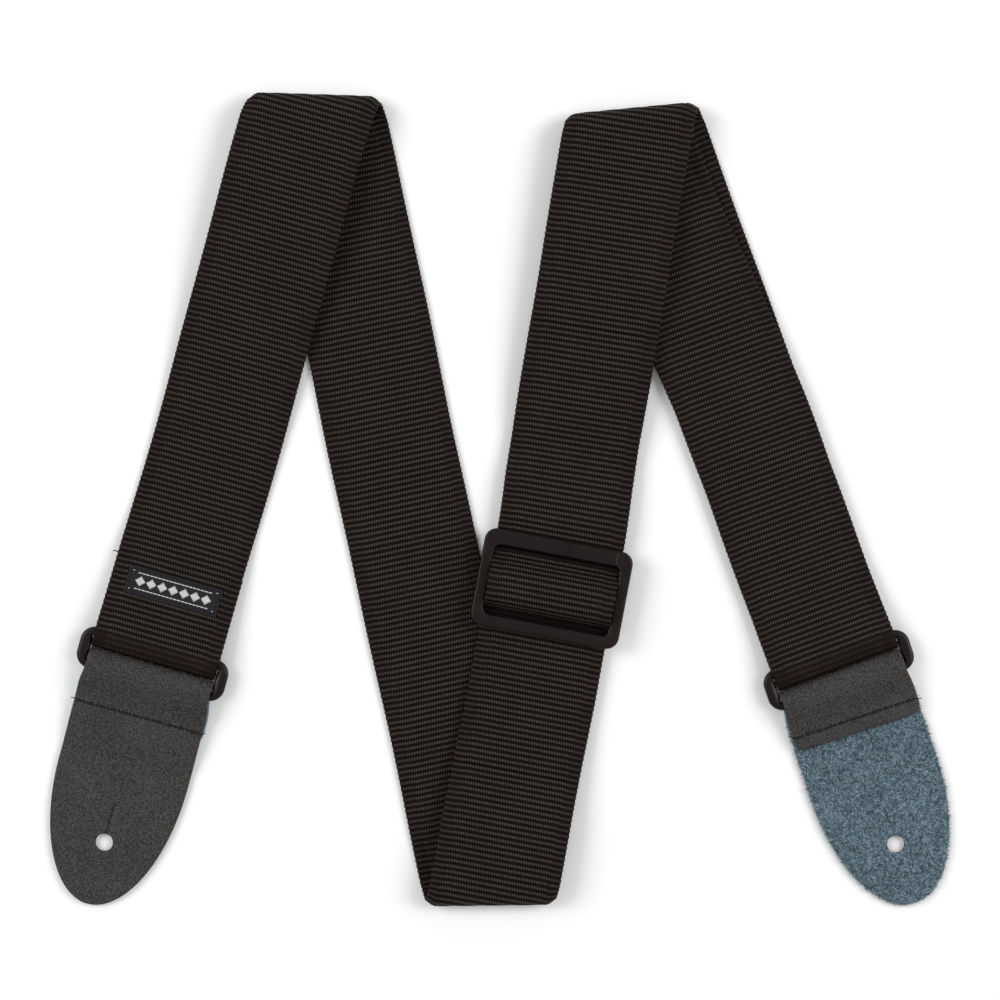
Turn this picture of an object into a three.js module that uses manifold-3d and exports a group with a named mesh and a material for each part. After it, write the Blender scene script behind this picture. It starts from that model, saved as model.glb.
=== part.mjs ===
// Guitar strap, laid out flat in four runs. Millimetres, +Z up, the floor at Z = 0.
// The webbing is one long ribbon. Its layers are drawn by their middle surface, row by row.
import * as THREE from 'three';
import { mergeVertices } from 'three/addons/utils/BufferGeometryUtils.js';
import Module from 'manifold-3d';

const wasm = await Module();
wasm.setup();
const { Manifold, Mesh } = wasm;

// ---- driving dimensions ----
const webbingWidth = 50.8;
const webbingThickness = 1.7;
const layerStep = 1.9;
const tailStep = 1.95;
const floorLayer = webbingThickness / 2;

const ringLength = 60.5;
const ringHeight = 16.8;
const ringBarRadius = 1.65;
const ringCornerRadius = 4.2;
const ringCentreHeight = 4.15;
const barOffset = ringHeight / 2 - ringBarRadius;

const ringLoopReach = 5.9;
const ringLoopRise = 2.75;

// distances along the webbing from the ring's centre or the slider's bar, where its height changes
const tailSettles = 24;
const leftRunSettles = 64;
const returnSettles = 13;
const returnLifts = 44;
// how far from a fold, a bar or a settled stretch the nearest row of points lies
const rowFromFold = 8;
const rowFromBar = 4;
const rowAfterSettling = 11;

const leatherThickness = 2.0;
const leatherLoopReach = 5.0;
const leatherLoopRise = 2.9;
const tabHalfWidth = 26.3;
const tabHalfWidthAtRing = 25.3;
const tabStraightLength = 45;
const flapEnd = 26;
const flapCornerRadius = 4;
const buttonHoleDiameter = 7;
const slitLength = 15.5;
const slitWidth = 0.5;

const sliderLength = 59.5;
const sliderTopHalf = 19.5;
const sliderTopBar = 6.3;
const sliderBottomBar = 5;
const sliderWindowLength = 51.1;
const sliderThickness = 3.2;
const sliderBevel = 0.7;
const sliderCornerRadius = 5;
const sliderUnderside = 5.65;
const centreBarRadius = 1.6;
const centreBarHeight = sliderUnderside + sliderThickness / 2;
const sewnLoopRadius = 2.7;
const passUnderTopBar = 4.6;
const passUnderBottomBar = 4.3;
const humpHeight = centreBarHeight + sewnLoopRadius + tailStep;
const humpLengthAbove = 13.2;
const humpLengthBelow = 12.5;
const sewnTailEnd = 36;
const movingEnd = 16;
const stretchAbove = 105;
const stretchBelow = 75;

const labelLength = 38;
const labelWidth = 11.3;
const labelDistance = 30;
const labelThickness = 0.5;
const stitchInset = 0.9;
const threadWidth = 0.6;
const threadThickness = 0.35;
const threadLift = 0.1;
const endSeamDistance = 38;
const leftTailEnd = 41;
const leftTabSeamDistance = 21.6;
const rightTabSeamDistance = 20.2;
const sliderSeamDistance = 31;
const leftTabTip = 99;
const rightTabTip = 97.5;
const leftHoleDistance = 73.7;
const rightHoleDistance = 73;

const degree = Math.PI / 180;

// ---- plan: the runs of the ribbon and the folds between them ----
function vectorAt(angle) {
  return new THREE.Vector2(Math.sin(angle * degree), Math.cos(angle * degree));
}

function makeRun(origin, forward, left) {
  return { origin, forward, left };
}

function runPoint(run, along, across) {
  return run.origin.clone().addScaledVector(run.forward, along).addScaledVector(run.left, across);
}

function mirrored(vector, normal) {
  return vector.clone().addScaledVector(normal, -2 * vector.dot(normal));
}

function halfEllipseLength(reach, rise) {
  const spread = ((reach - rise) / (reach + rise)) ** 2;
  return (Math.PI / 2) * (reach + rise) * (1 + (3 * spread) / (10 + Math.sqrt(4 - 3 * spread)));
}

// A fold turns the run back over a straight crease and mirrors its direction.
function makeFold(run, along, nextForward, reach, startHeight, endHeight) {
  const outward = run.forward.clone().sub(nextForward).normalize();
  const crease = new THREE.Vector2(outward.y, -outward.x);
  const base = runPoint(run, along, 0);
  const length = halfEllipseLength(reach, Math.abs(endHeight - startHeight) / 2);
  const slope = run.forward.dot(outward);
  const skew = -run.left.dot(outward) / slope;
  const drift = (run.forward.dot(crease) * length) / slope;
  const next = makeRun(
    base.clone().addScaledVector(crease, drift),
    mirrored(run.forward, outward),
    mirrored(run.left, outward),
  );
  return { run, along, outward, crease, base, reach, startHeight, endHeight, length, slope, skew, next };
}

// One row across the ribbon in a fold. share goes from 0 at the start to 1 at the end.
function foldRow(fold, share, layer = fold, shift = 0) {
  const turn = Math.PI * share;
  const height = layer.startHeight + ((layer.endHeight - layer.startHeight) * (1 - Math.cos(turn))) / 2;
  return (across) => {
    const along = fold.along + (fold.length * share) / fold.slope + fold.skew * across;
    const flat = runPoint(fold.run, along, across).sub(fold.base);
    const onCrease = flat.dot(fold.crease);
    const place = fold.base
      .clone()
      .addScaledVector(fold.crease, onCrease)
      .addScaledVector(fold.outward, layer.reach * Math.sin(turn))
      .addScaledVector(fold.crease, -shift);
    return new THREE.Vector3(place.x, place.y, height);
  };
}

function evenly(from, to, count) {
  return Array.from({ length: count + 1 }, (_, step) => from + ((to - from) * step) / count);
}

function foldRows(fold, from, to, count) {
  return evenly(from, to, count).map((share) => foldRow(fold, share));
}

// ---- heights along a run: a smooth curve through given points, without overshoot ----
function heightCurve(points) {
  const count = points.length;
  const rates = [];
  for (let index = 0; index < count - 1; index += 1) {
    rates.push((points[index + 1][1] - points[index][1]) / (points[index + 1][0] - points[index][0]));
  }
  const slopes = [0];
  for (let index = 1; index < count - 1; index += 1) {
    const before = rates[index - 1];
    const after = rates[index];
    slopes.push(before * after <= 0 ? 0 : (2 * before * after) / (before + after));
  }
  slopes.push(0);
  return (distance) => {
    const inside = Math.min(Math.max(distance, points[0][0]), points[count - 1][0]);
    let index = 0;
    while (index < count - 2 && inside > points[index + 1][0]) index += 1;
    const width = points[index + 1][0] - points[index][0];
    const share = (inside - points[index][0]) / width;
    const square = share * share;
    const cube = square * share;
    return (
      points[index][1] * (2 * cube - 3 * square + 1) +
      slopes[index] * width * (cube - 2 * square + share) +
      points[index + 1][1] * (3 * square - 2 * cube) +
      slopes[index + 1] * width * (cube - square)
    );
  };
}

function smoothStep(value) {
  const share = Math.min(Math.max(value, 0), 1);
  return share * share * (3 - 2 * share);
}

// ---- solids ----
// rows[i](across) is a point of the middle surface. halfWidths[i] is that row's half width.
// Only rows first to last are kept; the rows beyond them only set how the two ends are cut.
function ribbon(rows, halfWidths, thickness, columns = 4, lift = 0, first = 0, last = rows.length - 1) {
  const middle = rows.map((row, index) => {
    const half = halfWidths[index];
    return Array.from({ length: columns + 1 }, (_, column) => row(half * (1 - (2 * column) / columns)));
  });
  const positions = [];
  const indices = [];
  const span = columns + 1;
  for (const side of [1, -1]) {
    for (let index = first; index <= last; index += 1) {
      for (let column = 0; column <= columns; column += 1) {
        const ahead = middle[Math.min(index + 1, rows.length - 1)][column];
        const behind = middle[Math.max(index - 1, 0)][column];
        const right = middle[index][Math.min(column + 1, columns)];
        const left = middle[index][Math.max(column - 1, 0)];
        const normal = right.clone().sub(left).cross(ahead.clone().sub(behind)).normalize();
        const offset = lift + (side * thickness) / 2;
        const corner = middle[index][column].clone().addScaledVector(normal, offset);
        positions.push(corner.x, corner.y, corner.z);
      }
    }
  }
  const steps = last - first;
  const sheet = (steps + 1) * span;
  const quad = (a, b, c, d) => indices.push(a, b, c, a, c, d);
  for (let index = 0; index < steps; index += 1) {
    for (let column = 0; column < columns; column += 1) {
      const a = index * span + column;
      quad(a, a + 1, a + 1 + span, a + span);
      quad(a + sheet, a + span + sheet, a + 1 + span + sheet, a + 1 + sheet);
    }
    const left = index * span;
    const right = left + columns;
    quad(left, left + span, left + span + sheet, left + sheet);
    quad(right, right + sheet, right + span + sheet, right + span);
  }
  for (let column = 0; column < columns; column += 1) {
    const start = column;
    const end = steps * span + column;
    quad(start, start + sheet, start + 1 + sheet, start + 1);
    quad(end, end + 1, end + 1 + sheet, end + sheet);
  }
  const geometry = new THREE.BufferGeometry();
  geometry.setAttribute('position', new THREE.Float32BufferAttribute(positions, 3));
  geometry.setIndex(indices);
  return geometry;
}

function solidOf(geometry) {
  const bare = geometry.clone();
  for (const name of Object.keys(bare.attributes)) {
    if (name !== 'position') bare.deleteAttribute(name);
  }
  const welded = mergeVertices(bare, 1e-4);
  const mesh = new Mesh({
    numProp: 3,
    vertProperties: new Float32Array(welded.attributes.position.array),
    triVerts: new Uint32Array(welded.index.array),
  });
  return new Manifold(mesh);
}

function geometryOf(solid) {
  const mesh = solid.getMesh();
  const geometry = new THREE.BufferGeometry();
  geometry.setAttribute('position', new THREE.BufferAttribute(new Float32Array(mesh.vertProperties), 3));
  geometry.setIndex(new THREE.BufferAttribute(new Uint32Array(mesh.triVerts), 1));
  return geometry;
}

// A round bar bent into a closed loop through centre-line points that lie in one level plane.
function barLoop(points, radius, sides) {
  const positions = [];
  const indices = [];
  const count = points.length;
  for (let index = 0; index < count; index += 1) {
    const ahead = points[(index + 1) % count];
    const behind = points[(index + count - 1) % count];
    const tangent = ahead.clone().sub(behind).normalize();
    const outward = new THREE.Vector3(tangent.y, -tangent.x, 0);
    for (let side = 0; side < sides; side += 1) {
      const turn = (2 * Math.PI * side) / sides;
      const corner = points[index].clone().addScaledVector(outward, radius * Math.cos(turn));
      positions.push(corner.x, corner.y, corner.z + radius * Math.sin(turn));
    }
  }
  for (let index = 0; index < count; index += 1) {
    for (let side = 0; side < sides; side += 1) {
      const a = index * sides + side;
      const b = index * sides + ((side + 1) % sides);
      const c = ((index + 1) % count) * sides + side;
      const d = ((index + 1) % count) * sides + ((side + 1) % sides);
      indices.push(a, c, d, a, d, b);
    }
  }
  const geometry = new THREE.BufferGeometry();
  geometry.setAttribute('position', new THREE.Float32BufferAttribute(positions, 3));
  geometry.setIndex(indices);
  return geometry;
}

function roundedRectangle(length, height, radius, cornerSteps) {
  const points = [];
  const corners = [
    [1, 1, 0],
    [-1, 1, 90],
    [-1, -1, 180],
    [1, -1, 270],
  ];
  for (const [signX, signY, start] of corners) {
    for (let step = 0; step <= cornerSteps; step += 1) {
      const turn = (start + (90 * step) / cornerSteps) * degree;
      points.push([
        signX * (length / 2 - radius) + radius * Math.cos(turn),
        signY * (height / 2 - radius) + radius * Math.sin(turn),
      ]);
    }
  }
  return points;
}

// ---- layout of the runs ----
const leftRingCentre = new THREE.Vector2(-137.48, -65.21);
const rightRingCentre = new THREE.Vector2(134.42, -67.71);
const leftTabAngle = 15.4;
const rightTabAngle = -18.4;
const leftRunAngle = 15.9;
const backRunAngle = 12.1;
const frontRunAngle = 10.8;
const upperRunAngle = 9.3;
const rightRunAngle = 20.2;

const leftForward = vectorAt(leftRunAngle);
const leftRun = makeRun(leftRingCentre, leftForward, new THREE.Vector2(-leftForward.y, leftForward.x));
const topLeftFold = makeFold(leftRun, 225, vectorAt(180 - backRunAngle), 8.5, 10.05, floorLayer);
const backRun = topLeftFold.next;
const bottomFold = makeFold(backRun, 310.6, vectorAt(frontRunAngle), 7.5, floorLayer, 8.8);
const frontRun = bottomFold.next;
const sliderDistance = 119.5;
const bendStart = 15;
const bendLength = 30;
const sliderCentre = runPoint(frontRun, sliderDistance, 0);
const upperForward = vectorAt(upperRunAngle);
const upperRun = makeRun(sliderCentre, upperForward, new THREE.Vector2(-upperForward.y, upperForward.x));
const topRightFold = makeFold(upperRun, 184.4, vectorAt(180 - rightRunAngle), 7.2, 10.5, floorLayer);
const innerLayer = { reach: 5.35, startHeight: 8.6, endHeight: 2.7 };
const rightRun = topRightFold.next;
const rightRingDistance = rightRingCentre.clone().sub(rightRun.origin).dot(rightRun.forward);
const innerShift = 6;
const innerShiftLength = 115;

// ---- heights of the layers ----
const leftTopHeights = heightCurve([
  [barOffset, ringCentreHeight + ringLoopRise],
  [tailSettles, 4.5],
  [leftTailEnd, 2.8],
  [leftRunSettles, floorLayer],
  [100, floorLayer + 0.6],
  [130, 3.5],
  [185, 8.6],
  [225, 10.05],
]);
const leftTailHeights = heightCurve([
  [barOffset, ringCentreHeight - ringLoopRise],
  [tailSettles, floorLayer],
]);
const returnHeights = heightCurve([
  [0, centreBarHeight - sewnLoopRadius],
  [returnSettles, floorLayer],
  [returnLifts, floorLayer],
  [82, 4.7],
  [135, 7.8],
  [184.4, 8.6],
]);
const outerExtra = heightCurve([
  [humpLengthAbove, passUnderTopBar - floorLayer - layerStep],
  [20, passUnderTopBar - floorLayer - layerStep],
  [27, passUnderTopBar - floorLayer - layerStep + 0.65],
  [38, passUnderTopBar - floorLayer - layerStep + 0.5],
  [62, 0],
]);
const lowerFrontHeights = heightCurve([
  [-bottomFold.length, 8.8],
  [10, 8.5],
  [50, 4.6],
  [80, 3.3],
  [98, 3.4],
  [sliderDistance - humpLengthBelow, passUnderBottomBar],
]);
const rightTopHeights = heightCurve([
  [0, innerLayer.endHeight],
  [rightRingDistance - 42, innerLayer.endHeight],
  [rightRingDistance - 20, 4.6],
  [rightRingDistance - barOffset, ringCentreHeight + ringLoopRise],
]);
const rightFloorHeights = heightCurve([
  [rightRingDistance - 26, floorLayer],
  [rightRingDistance - barOffset, ringCentreHeight - ringLoopRise],
]);

// A point on the front run. v is measured from the slider's centre bar, positive upwards.
function frontPoint(v, across) {
  const lower = runPoint(frontRun, sliderDistance + v, across);
  const upper = runPoint(upperRun, v, across);
  return lower.lerp(upper, smoothStep((v - bendStart) / bendLength));
}

function frontRow(v, height, skew = 0) {
  return (across) => {
    const place = frontPoint(v + skew * across, across);
    return new THREE.Vector3(place.x, place.y, height);
  };
}

function runRow(run, along, height, skew = 0, shift = 0) {
  return (across) => {
    const place = runPoint(run, along + skew * across, across).addScaledVector(topRightFold.crease, -shift);
    return new THREE.Vector3(place.x, place.y, height);
  };
}

function outerHeight(v) {
  if (v < -humpLengthBelow) return lowerFrontHeights(sliderDistance + v);
  if (v < 0) {
    const fall = humpHeight - passUnderBottomBar;
    return passUnderBottomBar + (fall * (1 + Math.cos(Math.PI * (v / humpLengthBelow) ** 3))) / 2;
  }
  if (v < humpLengthAbove) {
    const fall = humpHeight - passUnderTopBar;
    return passUnderTopBar + (fall * (1 + Math.cos((Math.PI * v) / humpLengthAbove))) / 2;
  }
  return returnHeights(v) + layerStep + outerExtra(v);
}

// The skew fades from the fold's crease to square over a stretch of the run.
function skewAt(distanceFromFold, foldSkew) {
  return foldSkew * (1 - smoothStep((distanceFromFold - 15) / 70));
}

const halfWidth = webbingWidth / 2;
const foldSteps = 9;

// A loop round a ring's bar, from the lower layer to the upper one.
function ringLoopRows(run, barAlong, direction, from, to, count) {
  return evenly(from, to, count).map((share) => {
    const turn = Math.PI * share;
    const along = barAlong + direction * ringLoopReach * Math.sin(turn);
    return runRow(run, along, ringCentreHeight - ringLoopRise * Math.cos(turn));
  });
}

function leftTopRow(along) {
  const skew = skewAt(topLeftFold.along - along, topLeftFold.skew);
  return runRow(leftRun, along, leftTopHeights(along), skew);
}

function leftTailRow(along) {
  return runRow(leftRun, along, leftTailHeights(along));
}

function backRow(along) {
  const skew = skewAt(along, topLeftFold.skew) + skewAt(bottomFold.along - along, bottomFold.skew);
  return runRow(backRun, along, floorLayer, skew);
}

function outerRow(v) {
  return frontRow(v, outerHeight(v), frontSkew(v));
}

function innerRow(v) {
  return frontRow(v, returnHeights(v), frontSkew(v));
}

function frontSkew(v) {
  return skewAt(sliderDistance + v, bottomFold.skew) + skewAt(topRightFold.along - v, topRightFold.skew);
}

function rightFloorRow(along) {
  return runRow(rightRun, along, rightFloorHeights(along), skewAt(along, topRightFold.skew));
}

function rightTopRow(along) {
  const shift = innerShift * (1 - smoothStep(along / innerShiftLength));
  return runRow(rightRun, along, rightTopHeights(along), skewAt(along, topRightFold.skew), shift);
}

// The sewn tail lies one layer under the ribbon that passes over it.
function tailRow(v) {
  const fall = humpHeight - passUnderTopBar;
  const slope = (-fall * Math.PI * Math.sin((Math.PI * v) / humpLengthAbove)) / (2 * humpLengthAbove);
  const stretch = Math.hypot(1, slope);
  return frontRow(v + (tailStep * slope) / stretch, outerHeight(v) - tailStep / stretch);
}

// The whole ribbon as one list of rows, from one sewn end to the other. pieces holds where it is divided.
const strip = [];
const pieces = [];

function lay(rows) {
  strip.push(...rows);
}

function endPiece(name) {
  const first = pieces.length ? pieces[pieces.length - 1].last : 0;
  pieces.push({ name, first, last: strip.length - 1 });
}

const rightBarAlong = rightRingDistance - barOffset;
lay(evenly(leftTailEnd, barOffset + rowFromBar, 5).map(leftTailRow));
lay(ringLoopRows(leftRun, barOffset, -1, 0, 1, 12));
lay(evenly(barOffset + rowFromBar, leftRunSettles, 9).map(leftTopRow));
lay(evenly(leftRunSettles + rowAfterSettling, topLeftFold.along - rowFromFold, 13).map(leftTopRow));
lay(foldRows(topLeftFold, 0, 0.5, foldSteps));
endPiece('webbing_left_run');
lay(foldRows(topLeftFold, 0.5, 1, foldSteps).slice(1));
lay(evenly(rowFromFold, bottomFold.along - rowFromFold, 10).map(backRow));
lay(foldRows(bottomFold, 0, 0.5, foldSteps));
endPiece('webbing_back_run');
lay(foldRows(bottomFold, 0.5, 1, foldSteps).slice(1));
lay(evenly(rowFromFold / 2 - sliderDistance, -stretchBelow, 6).map(outerRow));
endPiece('webbing_front_run');
lay(evenly(-stretchBelow, -movingEnd, 10).slice(1).map(outerRow));
endPiece('webbing_below_slider');
lay(evenly(-movingEnd, movingEnd, 40).slice(1).map(outerRow));
endPiece('webbing_in_slider');
lay(evenly(movingEnd, stretchAbove, 16).slice(1).map(outerRow));
endPiece('webbing_above_slider');
lay(evenly(stretchAbove, topRightFold.along - rowFromFold, 7).slice(1).map(outerRow));
lay(foldRows(topRightFold, 0, 0.5, foldSteps));
endPiece('webbing_front_top');
lay(foldRows(topRightFold, 0.5, 1, foldSteps).slice(1));
lay(evenly(rowFromFold, rightRingDistance - 30, 9).map(rightFloorRow));
lay(evenly(rightRingDistance - tailSettles, rightBarAlong - rowFromBar, 3).map(rightFloorRow));
lay(ringLoopRows(rightRun, rightBarAlong, 1, 0, 0.5, 6));
endPiece('webbing_right_floor');
lay(ringLoopRows(rightRun, rightBarAlong, 1, 0.5, 1, 6).slice(1));
lay(evenly(rightBarAlong - rowFromBar, rightRingDistance - 46, 7).map(rightTopRow));
lay(evenly(rightRingDistance - 60, rowFromFold, 10).map(rightTopRow));
lay(evenly(1, 0.5, foldSteps).map((share) => {
  return foldRow(topRightFold, share, innerLayer, innerShift * smoothStep(2 * share - 1));
}));
endPiece('webbing_right_top');
lay(evenly(0.5, 0, foldSteps).slice(1).map((share) => foldRow(topRightFold, share, innerLayer)));
lay(evenly(topRightFold.along - rowFromFold, stretchAbove, 7).map(innerRow));
endPiece('webbing_hidden_run');
lay(evenly(stretchAbove, movingEnd, 16).slice(1).map(innerRow));
endPiece('webbing_return');
lay(evenly(movingEnd, 0.8, 10).slice(1).map(innerRow));
lay(evenly(0, Math.PI, 12).map((turn) => {
  return frontRow(-sewnLoopRadius * Math.sin(turn), centreBarHeight - sewnLoopRadius * Math.cos(turn));
}));
lay(evenly(0.8, humpLengthAbove, 12).map(tailRow));
lay(evenly(17, sewnTailEnd, 4).map((v) => frontRow(v, passUnderTopBar - tailStep)));
endPiece('webbing_sewn_end');

const stripWidths = strip.map(() => halfWidth);

function webbingPiece({ first, last }) {
  return ribbon(strip, stripWidths, webbingThickness, 4, 0, first, last);
}

// ---- threads and label ----
function crossThread(rows, half, lift) {
  return ribbon(rows, rows.map(() => half), threadThickness, 8, lift);
}

function leftEndSeamSolid() {
  const alongs = [endSeamDistance - threadWidth / 2, endSeamDistance + threadWidth / 2];
  const lift = webbingThickness / 2 + threadLift + threadThickness / 2;
  return crossThread(alongs.map((along) => leftTopRow(along)), halfWidth - 0.6, lift);
}

function sliderEndSeamSolid() {
  const places = [sliderSeamDistance, sliderSeamDistance + threadWidth];
  const rows = places.map((v) => frontRow(v, passUnderTopBar - tailStep));
  return crossThread(rows, halfWidth - 2, webbingThickness / 2 + threadLift + threadThickness / 2);
}

function labelRows(inset) {
  const half = labelWidth / 2 - inset;
  return evenly(labelDistance - half, labelDistance + half, 6).map((along) => leftTopRow(along));
}

const labelLift = webbingThickness / 2 + threadLift + labelThickness / 2;

function labelSolid() {
  const rows = labelRows(0);
  return ribbon(rows, rows.map(() => labelLength / 2), labelThickness, 6, labelLift);
}

function labelStitchingSolid() {
  const lift = labelLift + labelThickness / 2 + 0.05 + threadThickness / 2;
  const outer = labelRows(stitchInset);
  const inner = labelRows(stitchInset + threadWidth);
  const outerHalf = labelLength / 2 - stitchInset;
  const band = solidOf(ribbon(outer, outer.map(() => outerHalf), threadThickness, 6, lift));
  const window = solidOf(ribbon(inner, inner.map(() => outerHalf - threadWidth), 3, 6, lift));
  return geometryOf(band.subtract(window));
}

// ---- rings ----
function ringSolid(centre, axisAngle) {
  const along = vectorAt(axisAngle);
  const across = new THREE.Vector2(along.y, -along.x);
  const outline = roundedRectangle(
    ringLength - 2 * ringBarRadius,
    ringHeight - 2 * ringBarRadius,
    ringCornerRadius,
    6,
  );
  const points = outline.map(([x, y]) => {
    const place = centre.clone().addScaledVector(across, x).addScaledVector(along, y);
    return new THREE.Vector3(place.x, place.y, ringCentreHeight);
  });
  return barLoop(points, ringBarRadius, 14);
}

// ---- leather tabs ----
// distance is measured from the ring's centre towards the tip of the tab.
function bodyHalfWidth(distance, tip) {
  if (distance < tabStraightLength) {
    const growth = smoothStep((distance - barOffset) / 8);
    return tabHalfWidthAtRing + (tabHalfWidth - tabHalfWidthAtRing) * growth;
  }
  const share = (distance - tabStraightLength) / (tip - tabStraightLength);
  return Math.max(tabHalfWidth * Math.sqrt(Math.max(1 - share * share, 0)), 0.8);
}

function flapHalfWidth(distance) {
  const intoCorner = Math.max(distance - (flapEnd - flapCornerRadius), 0);
  const inset = flapCornerRadius - Math.sqrt(Math.max(flapCornerRadius ** 2 - intoCorner ** 2, 0));
  return tabHalfWidthAtRing - Math.min(inset, flapCornerRadius);
}

function tabDistances(tip) {
  const curved = evenly(0, 1, 15).map((share) => {
    return tabStraightLength + (tip - tabStraightLength) * Math.sin((Math.PI / 2) * share);
  });
  return [...evenly(9, 42, 11), ...curved];
}

const upperLeather = ringCentreHeight + leatherLoopRise;
const lowerLeather = ringCentreHeight - leatherLoopRise;
const floorLeather = leatherThickness / 2;
const bodyOverFlap = heightCurve([
  [barOffset, upperLeather],
  [20, 3.6],
  [flapEnd, 3.2],
  [42, floorLeather],
]);
const flapOnBody = heightCurve([
  [barOffset, upperLeather],
  [18, 3.7],
  [flapEnd, 3.2],
]);
const leatherOnFloor = heightCurve([
  [barOffset, lowerLeather],
  [18, floorLeather],
]);

function tabFrame(centre, angle) {
  const up = vectorAt(angle);
  return { centre, toTip: up.clone().negate(), left: new THREE.Vector2(-up.y, up.x) };
}

function tabRow(frame, distance, height) {
  return (across) => {
    const place = frame.centre.clone();
    place.addScaledVector(frame.toTip, distance).addScaledVector(frame.left, across);
    return new THREE.Vector3(place.x, place.y, height);
  };
}

// The leather runs from the flap's end round the ring's bar and on to the tip.
function tabSolid(frame, tip, holeDistance, flapHeights, bodyHeights, bodyOnTop) {
  const sign = bodyOnTop ? 1 : -1;
  const flap = evenly(flapEnd, flapEnd - flapCornerRadius, 4).concat(evenly(20, 9, 6));
  const body = tabDistances(tip);
  const loop = evenly(0, 1, 12).map((share) => Math.PI * share);
  const rows = [
    ...flap.map((distance) => tabRow(frame, distance, flapHeights(distance))),
    ...loop.map((turn) => {
      const distance = barOffset - leatherLoopReach * Math.sin(turn);
      return tabRow(frame, distance, ringCentreHeight - sign * leatherLoopRise * Math.cos(turn));
    }),
    ...body.map((distance) => tabRow(frame, distance, bodyHeights(distance))),
  ];
  const widths = [
    ...flap.map((distance) => flapHalfWidth(distance)),
    ...loop.map(() => tabHalfWidthAtRing),
    ...body.map((distance) => bodyHalfWidth(distance, tip)),
  ];
  const leather = solidOf(ribbon(rows, widths, leatherThickness, 4));
  const hole = frame.centre.clone().addScaledVector(frame.toTip, holeDistance);
  const punch = new THREE.CylinderGeometry(buttonHoleDiameter / 2, buttonHoleDiameter / 2, 10, 32);
  punch.rotateX(Math.PI / 2);
  punch.translate(hole.x, hole.y, 0);
  const slitMiddle = hole.clone().addScaledVector(frame.toTip, -slitLength / 2);
  const knife = new THREE.BoxGeometry(slitWidth, slitLength, 10);
  knife.rotateZ(-Math.atan2(-frame.toTip.x, -frame.toTip.y));
  knife.translate(slitMiddle.x, slitMiddle.y, 0);
  return geometryOf(leather.subtract(solidOf(punch)).subtract(solidOf(knife)));
}

function tabSeamSolid(frame, distance, heights) {
  const rows = [distance + threadWidth / 2, distance - threadWidth / 2].map((place) => {
    return tabRow(frame, place, heights(place));
  });
  const lift = leatherThickness / 2 + threadLift + threadThickness / 2;
  return crossThread(rows, tabHalfWidthAtRing - 1.2, lift);
}

// ---- slider ----
function sliderSolid() {
  const shape = new THREE.Shape();
  const outline = roundedRectangle(
    sliderLength - 2 * sliderBevel,
    2 * (sliderTopHalf - sliderBevel),
    sliderCornerRadius - sliderBevel,
    6,
  );
  outline.forEach(([x, y], index) => (index ? shape.lineTo(x, y) : shape.moveTo(x, y)));
  shape.closePath();
  const frame = new THREE.ExtrudeGeometry(shape, {
    depth: sliderThickness - 2 * sliderBevel,
    bevelEnabled: true,
    bevelThickness: sliderBevel,
    bevelSize: sliderBevel,
    bevelSegments: 2,
    curveSegments: 6,
  });
  frame.translate(0, 0, sliderUnderside + sliderBevel);
  const windowHeight = 2 * sliderTopHalf - sliderTopBar - sliderBottomBar;
  const windowShape = new THREE.Shape();
  const windowOutline = roundedRectangle(sliderWindowLength, windowHeight, 1.2, 4);
  windowOutline.forEach(([x, y], index) => (index ? windowShape.lineTo(x, y) : windowShape.moveTo(x, y)));
  windowShape.closePath();
  const window = new THREE.ExtrudeGeometry(windowShape, { depth: 20, bevelEnabled: false });
  window.translate(0, (sliderBottomBar - sliderTopBar) / 2, 0);
  const bar = new THREE.CylinderGeometry(centreBarRadius, centreBarRadius, sliderWindowLength + 3, 18);
  bar.rotateZ(Math.PI / 2);
  bar.translate(0, 0, centreBarHeight);
  const body = geometryOf(solidOf(frame).subtract(solidOf(window)).add(solidOf(bar)));
  const up = frontRun.forward;
  body.rotateZ(-Math.atan2(up.x, up.y));
  body.translate(sliderCentre.x, sliderCentre.y, 0);
  return body;
}

// ---- the part ----
function material(color, roughness) {
  return new THREE.MeshStandardMaterial({ color, roughness });
}

const webbingMaterial = material('#2b2725', 0.85);
const threadMaterial = material('#15130f', 0.7);
const labelMaterial = material('#1c1c22', 0.8);
const grainMaterial = material('#302e2d', 0.6);
const suedeMaterial = material('#586c7a', 0.95);
const plasticMaterial = material('#2a2522', 0.4);

const part = new THREE.Group();
part.name = 'guitar_strap';

function add(name, geometry, look) {
  geometry.computeVertexNormals();
  const mesh = new THREE.Mesh(geometry, look);
  mesh.name = name;
  part.add(mesh);
}

const leftFrame = tabFrame(leftRingCentre, leftTabAngle);
const rightFrame = tabFrame(rightRingCentre, rightTabAngle);

for (const piece of pieces) add(piece.name, webbingPiece(piece), webbingMaterial);
add('left_end_seam', leftEndSeamSolid(), threadMaterial);
add('label', labelSolid(), labelMaterial);
add('label_stitching', labelStitchingSolid(), threadMaterial);
add('slider_frame', sliderSolid(), plasticMaterial);
add('slider_end_seam', sliderEndSeamSolid(), threadMaterial);
add('left_ring', ringSolid(leftRingCentre, leftTabAngle), plasticMaterial);
add(
  'left_tab',
  tabSolid(leftFrame, leftTabTip, leftHoleDistance, leatherOnFloor, bodyOverFlap, true),
  grainMaterial,
);
add('left_tab_seam', tabSeamSolid(leftFrame, leftTabSeamDistance, bodyOverFlap), threadMaterial);
add('right_ring', ringSolid(rightRingCentre, rightTabAngle), plasticMaterial);
add(
  'right_tab',
  tabSolid(rightFrame, rightTabTip, rightHoleDistance, flapOnBody, leatherOnFloor, false),
  suedeMaterial,
);
add('right_tab_seam', tabSeamSolid(rightFrame, rightTabSeamDistance, flapOnBody), threadMaterial);

export default part;
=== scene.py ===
"""A guitar strap of ribbed webbing, laid out in four runs, with a slider, two rings and two leather tabs."""

import math

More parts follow.
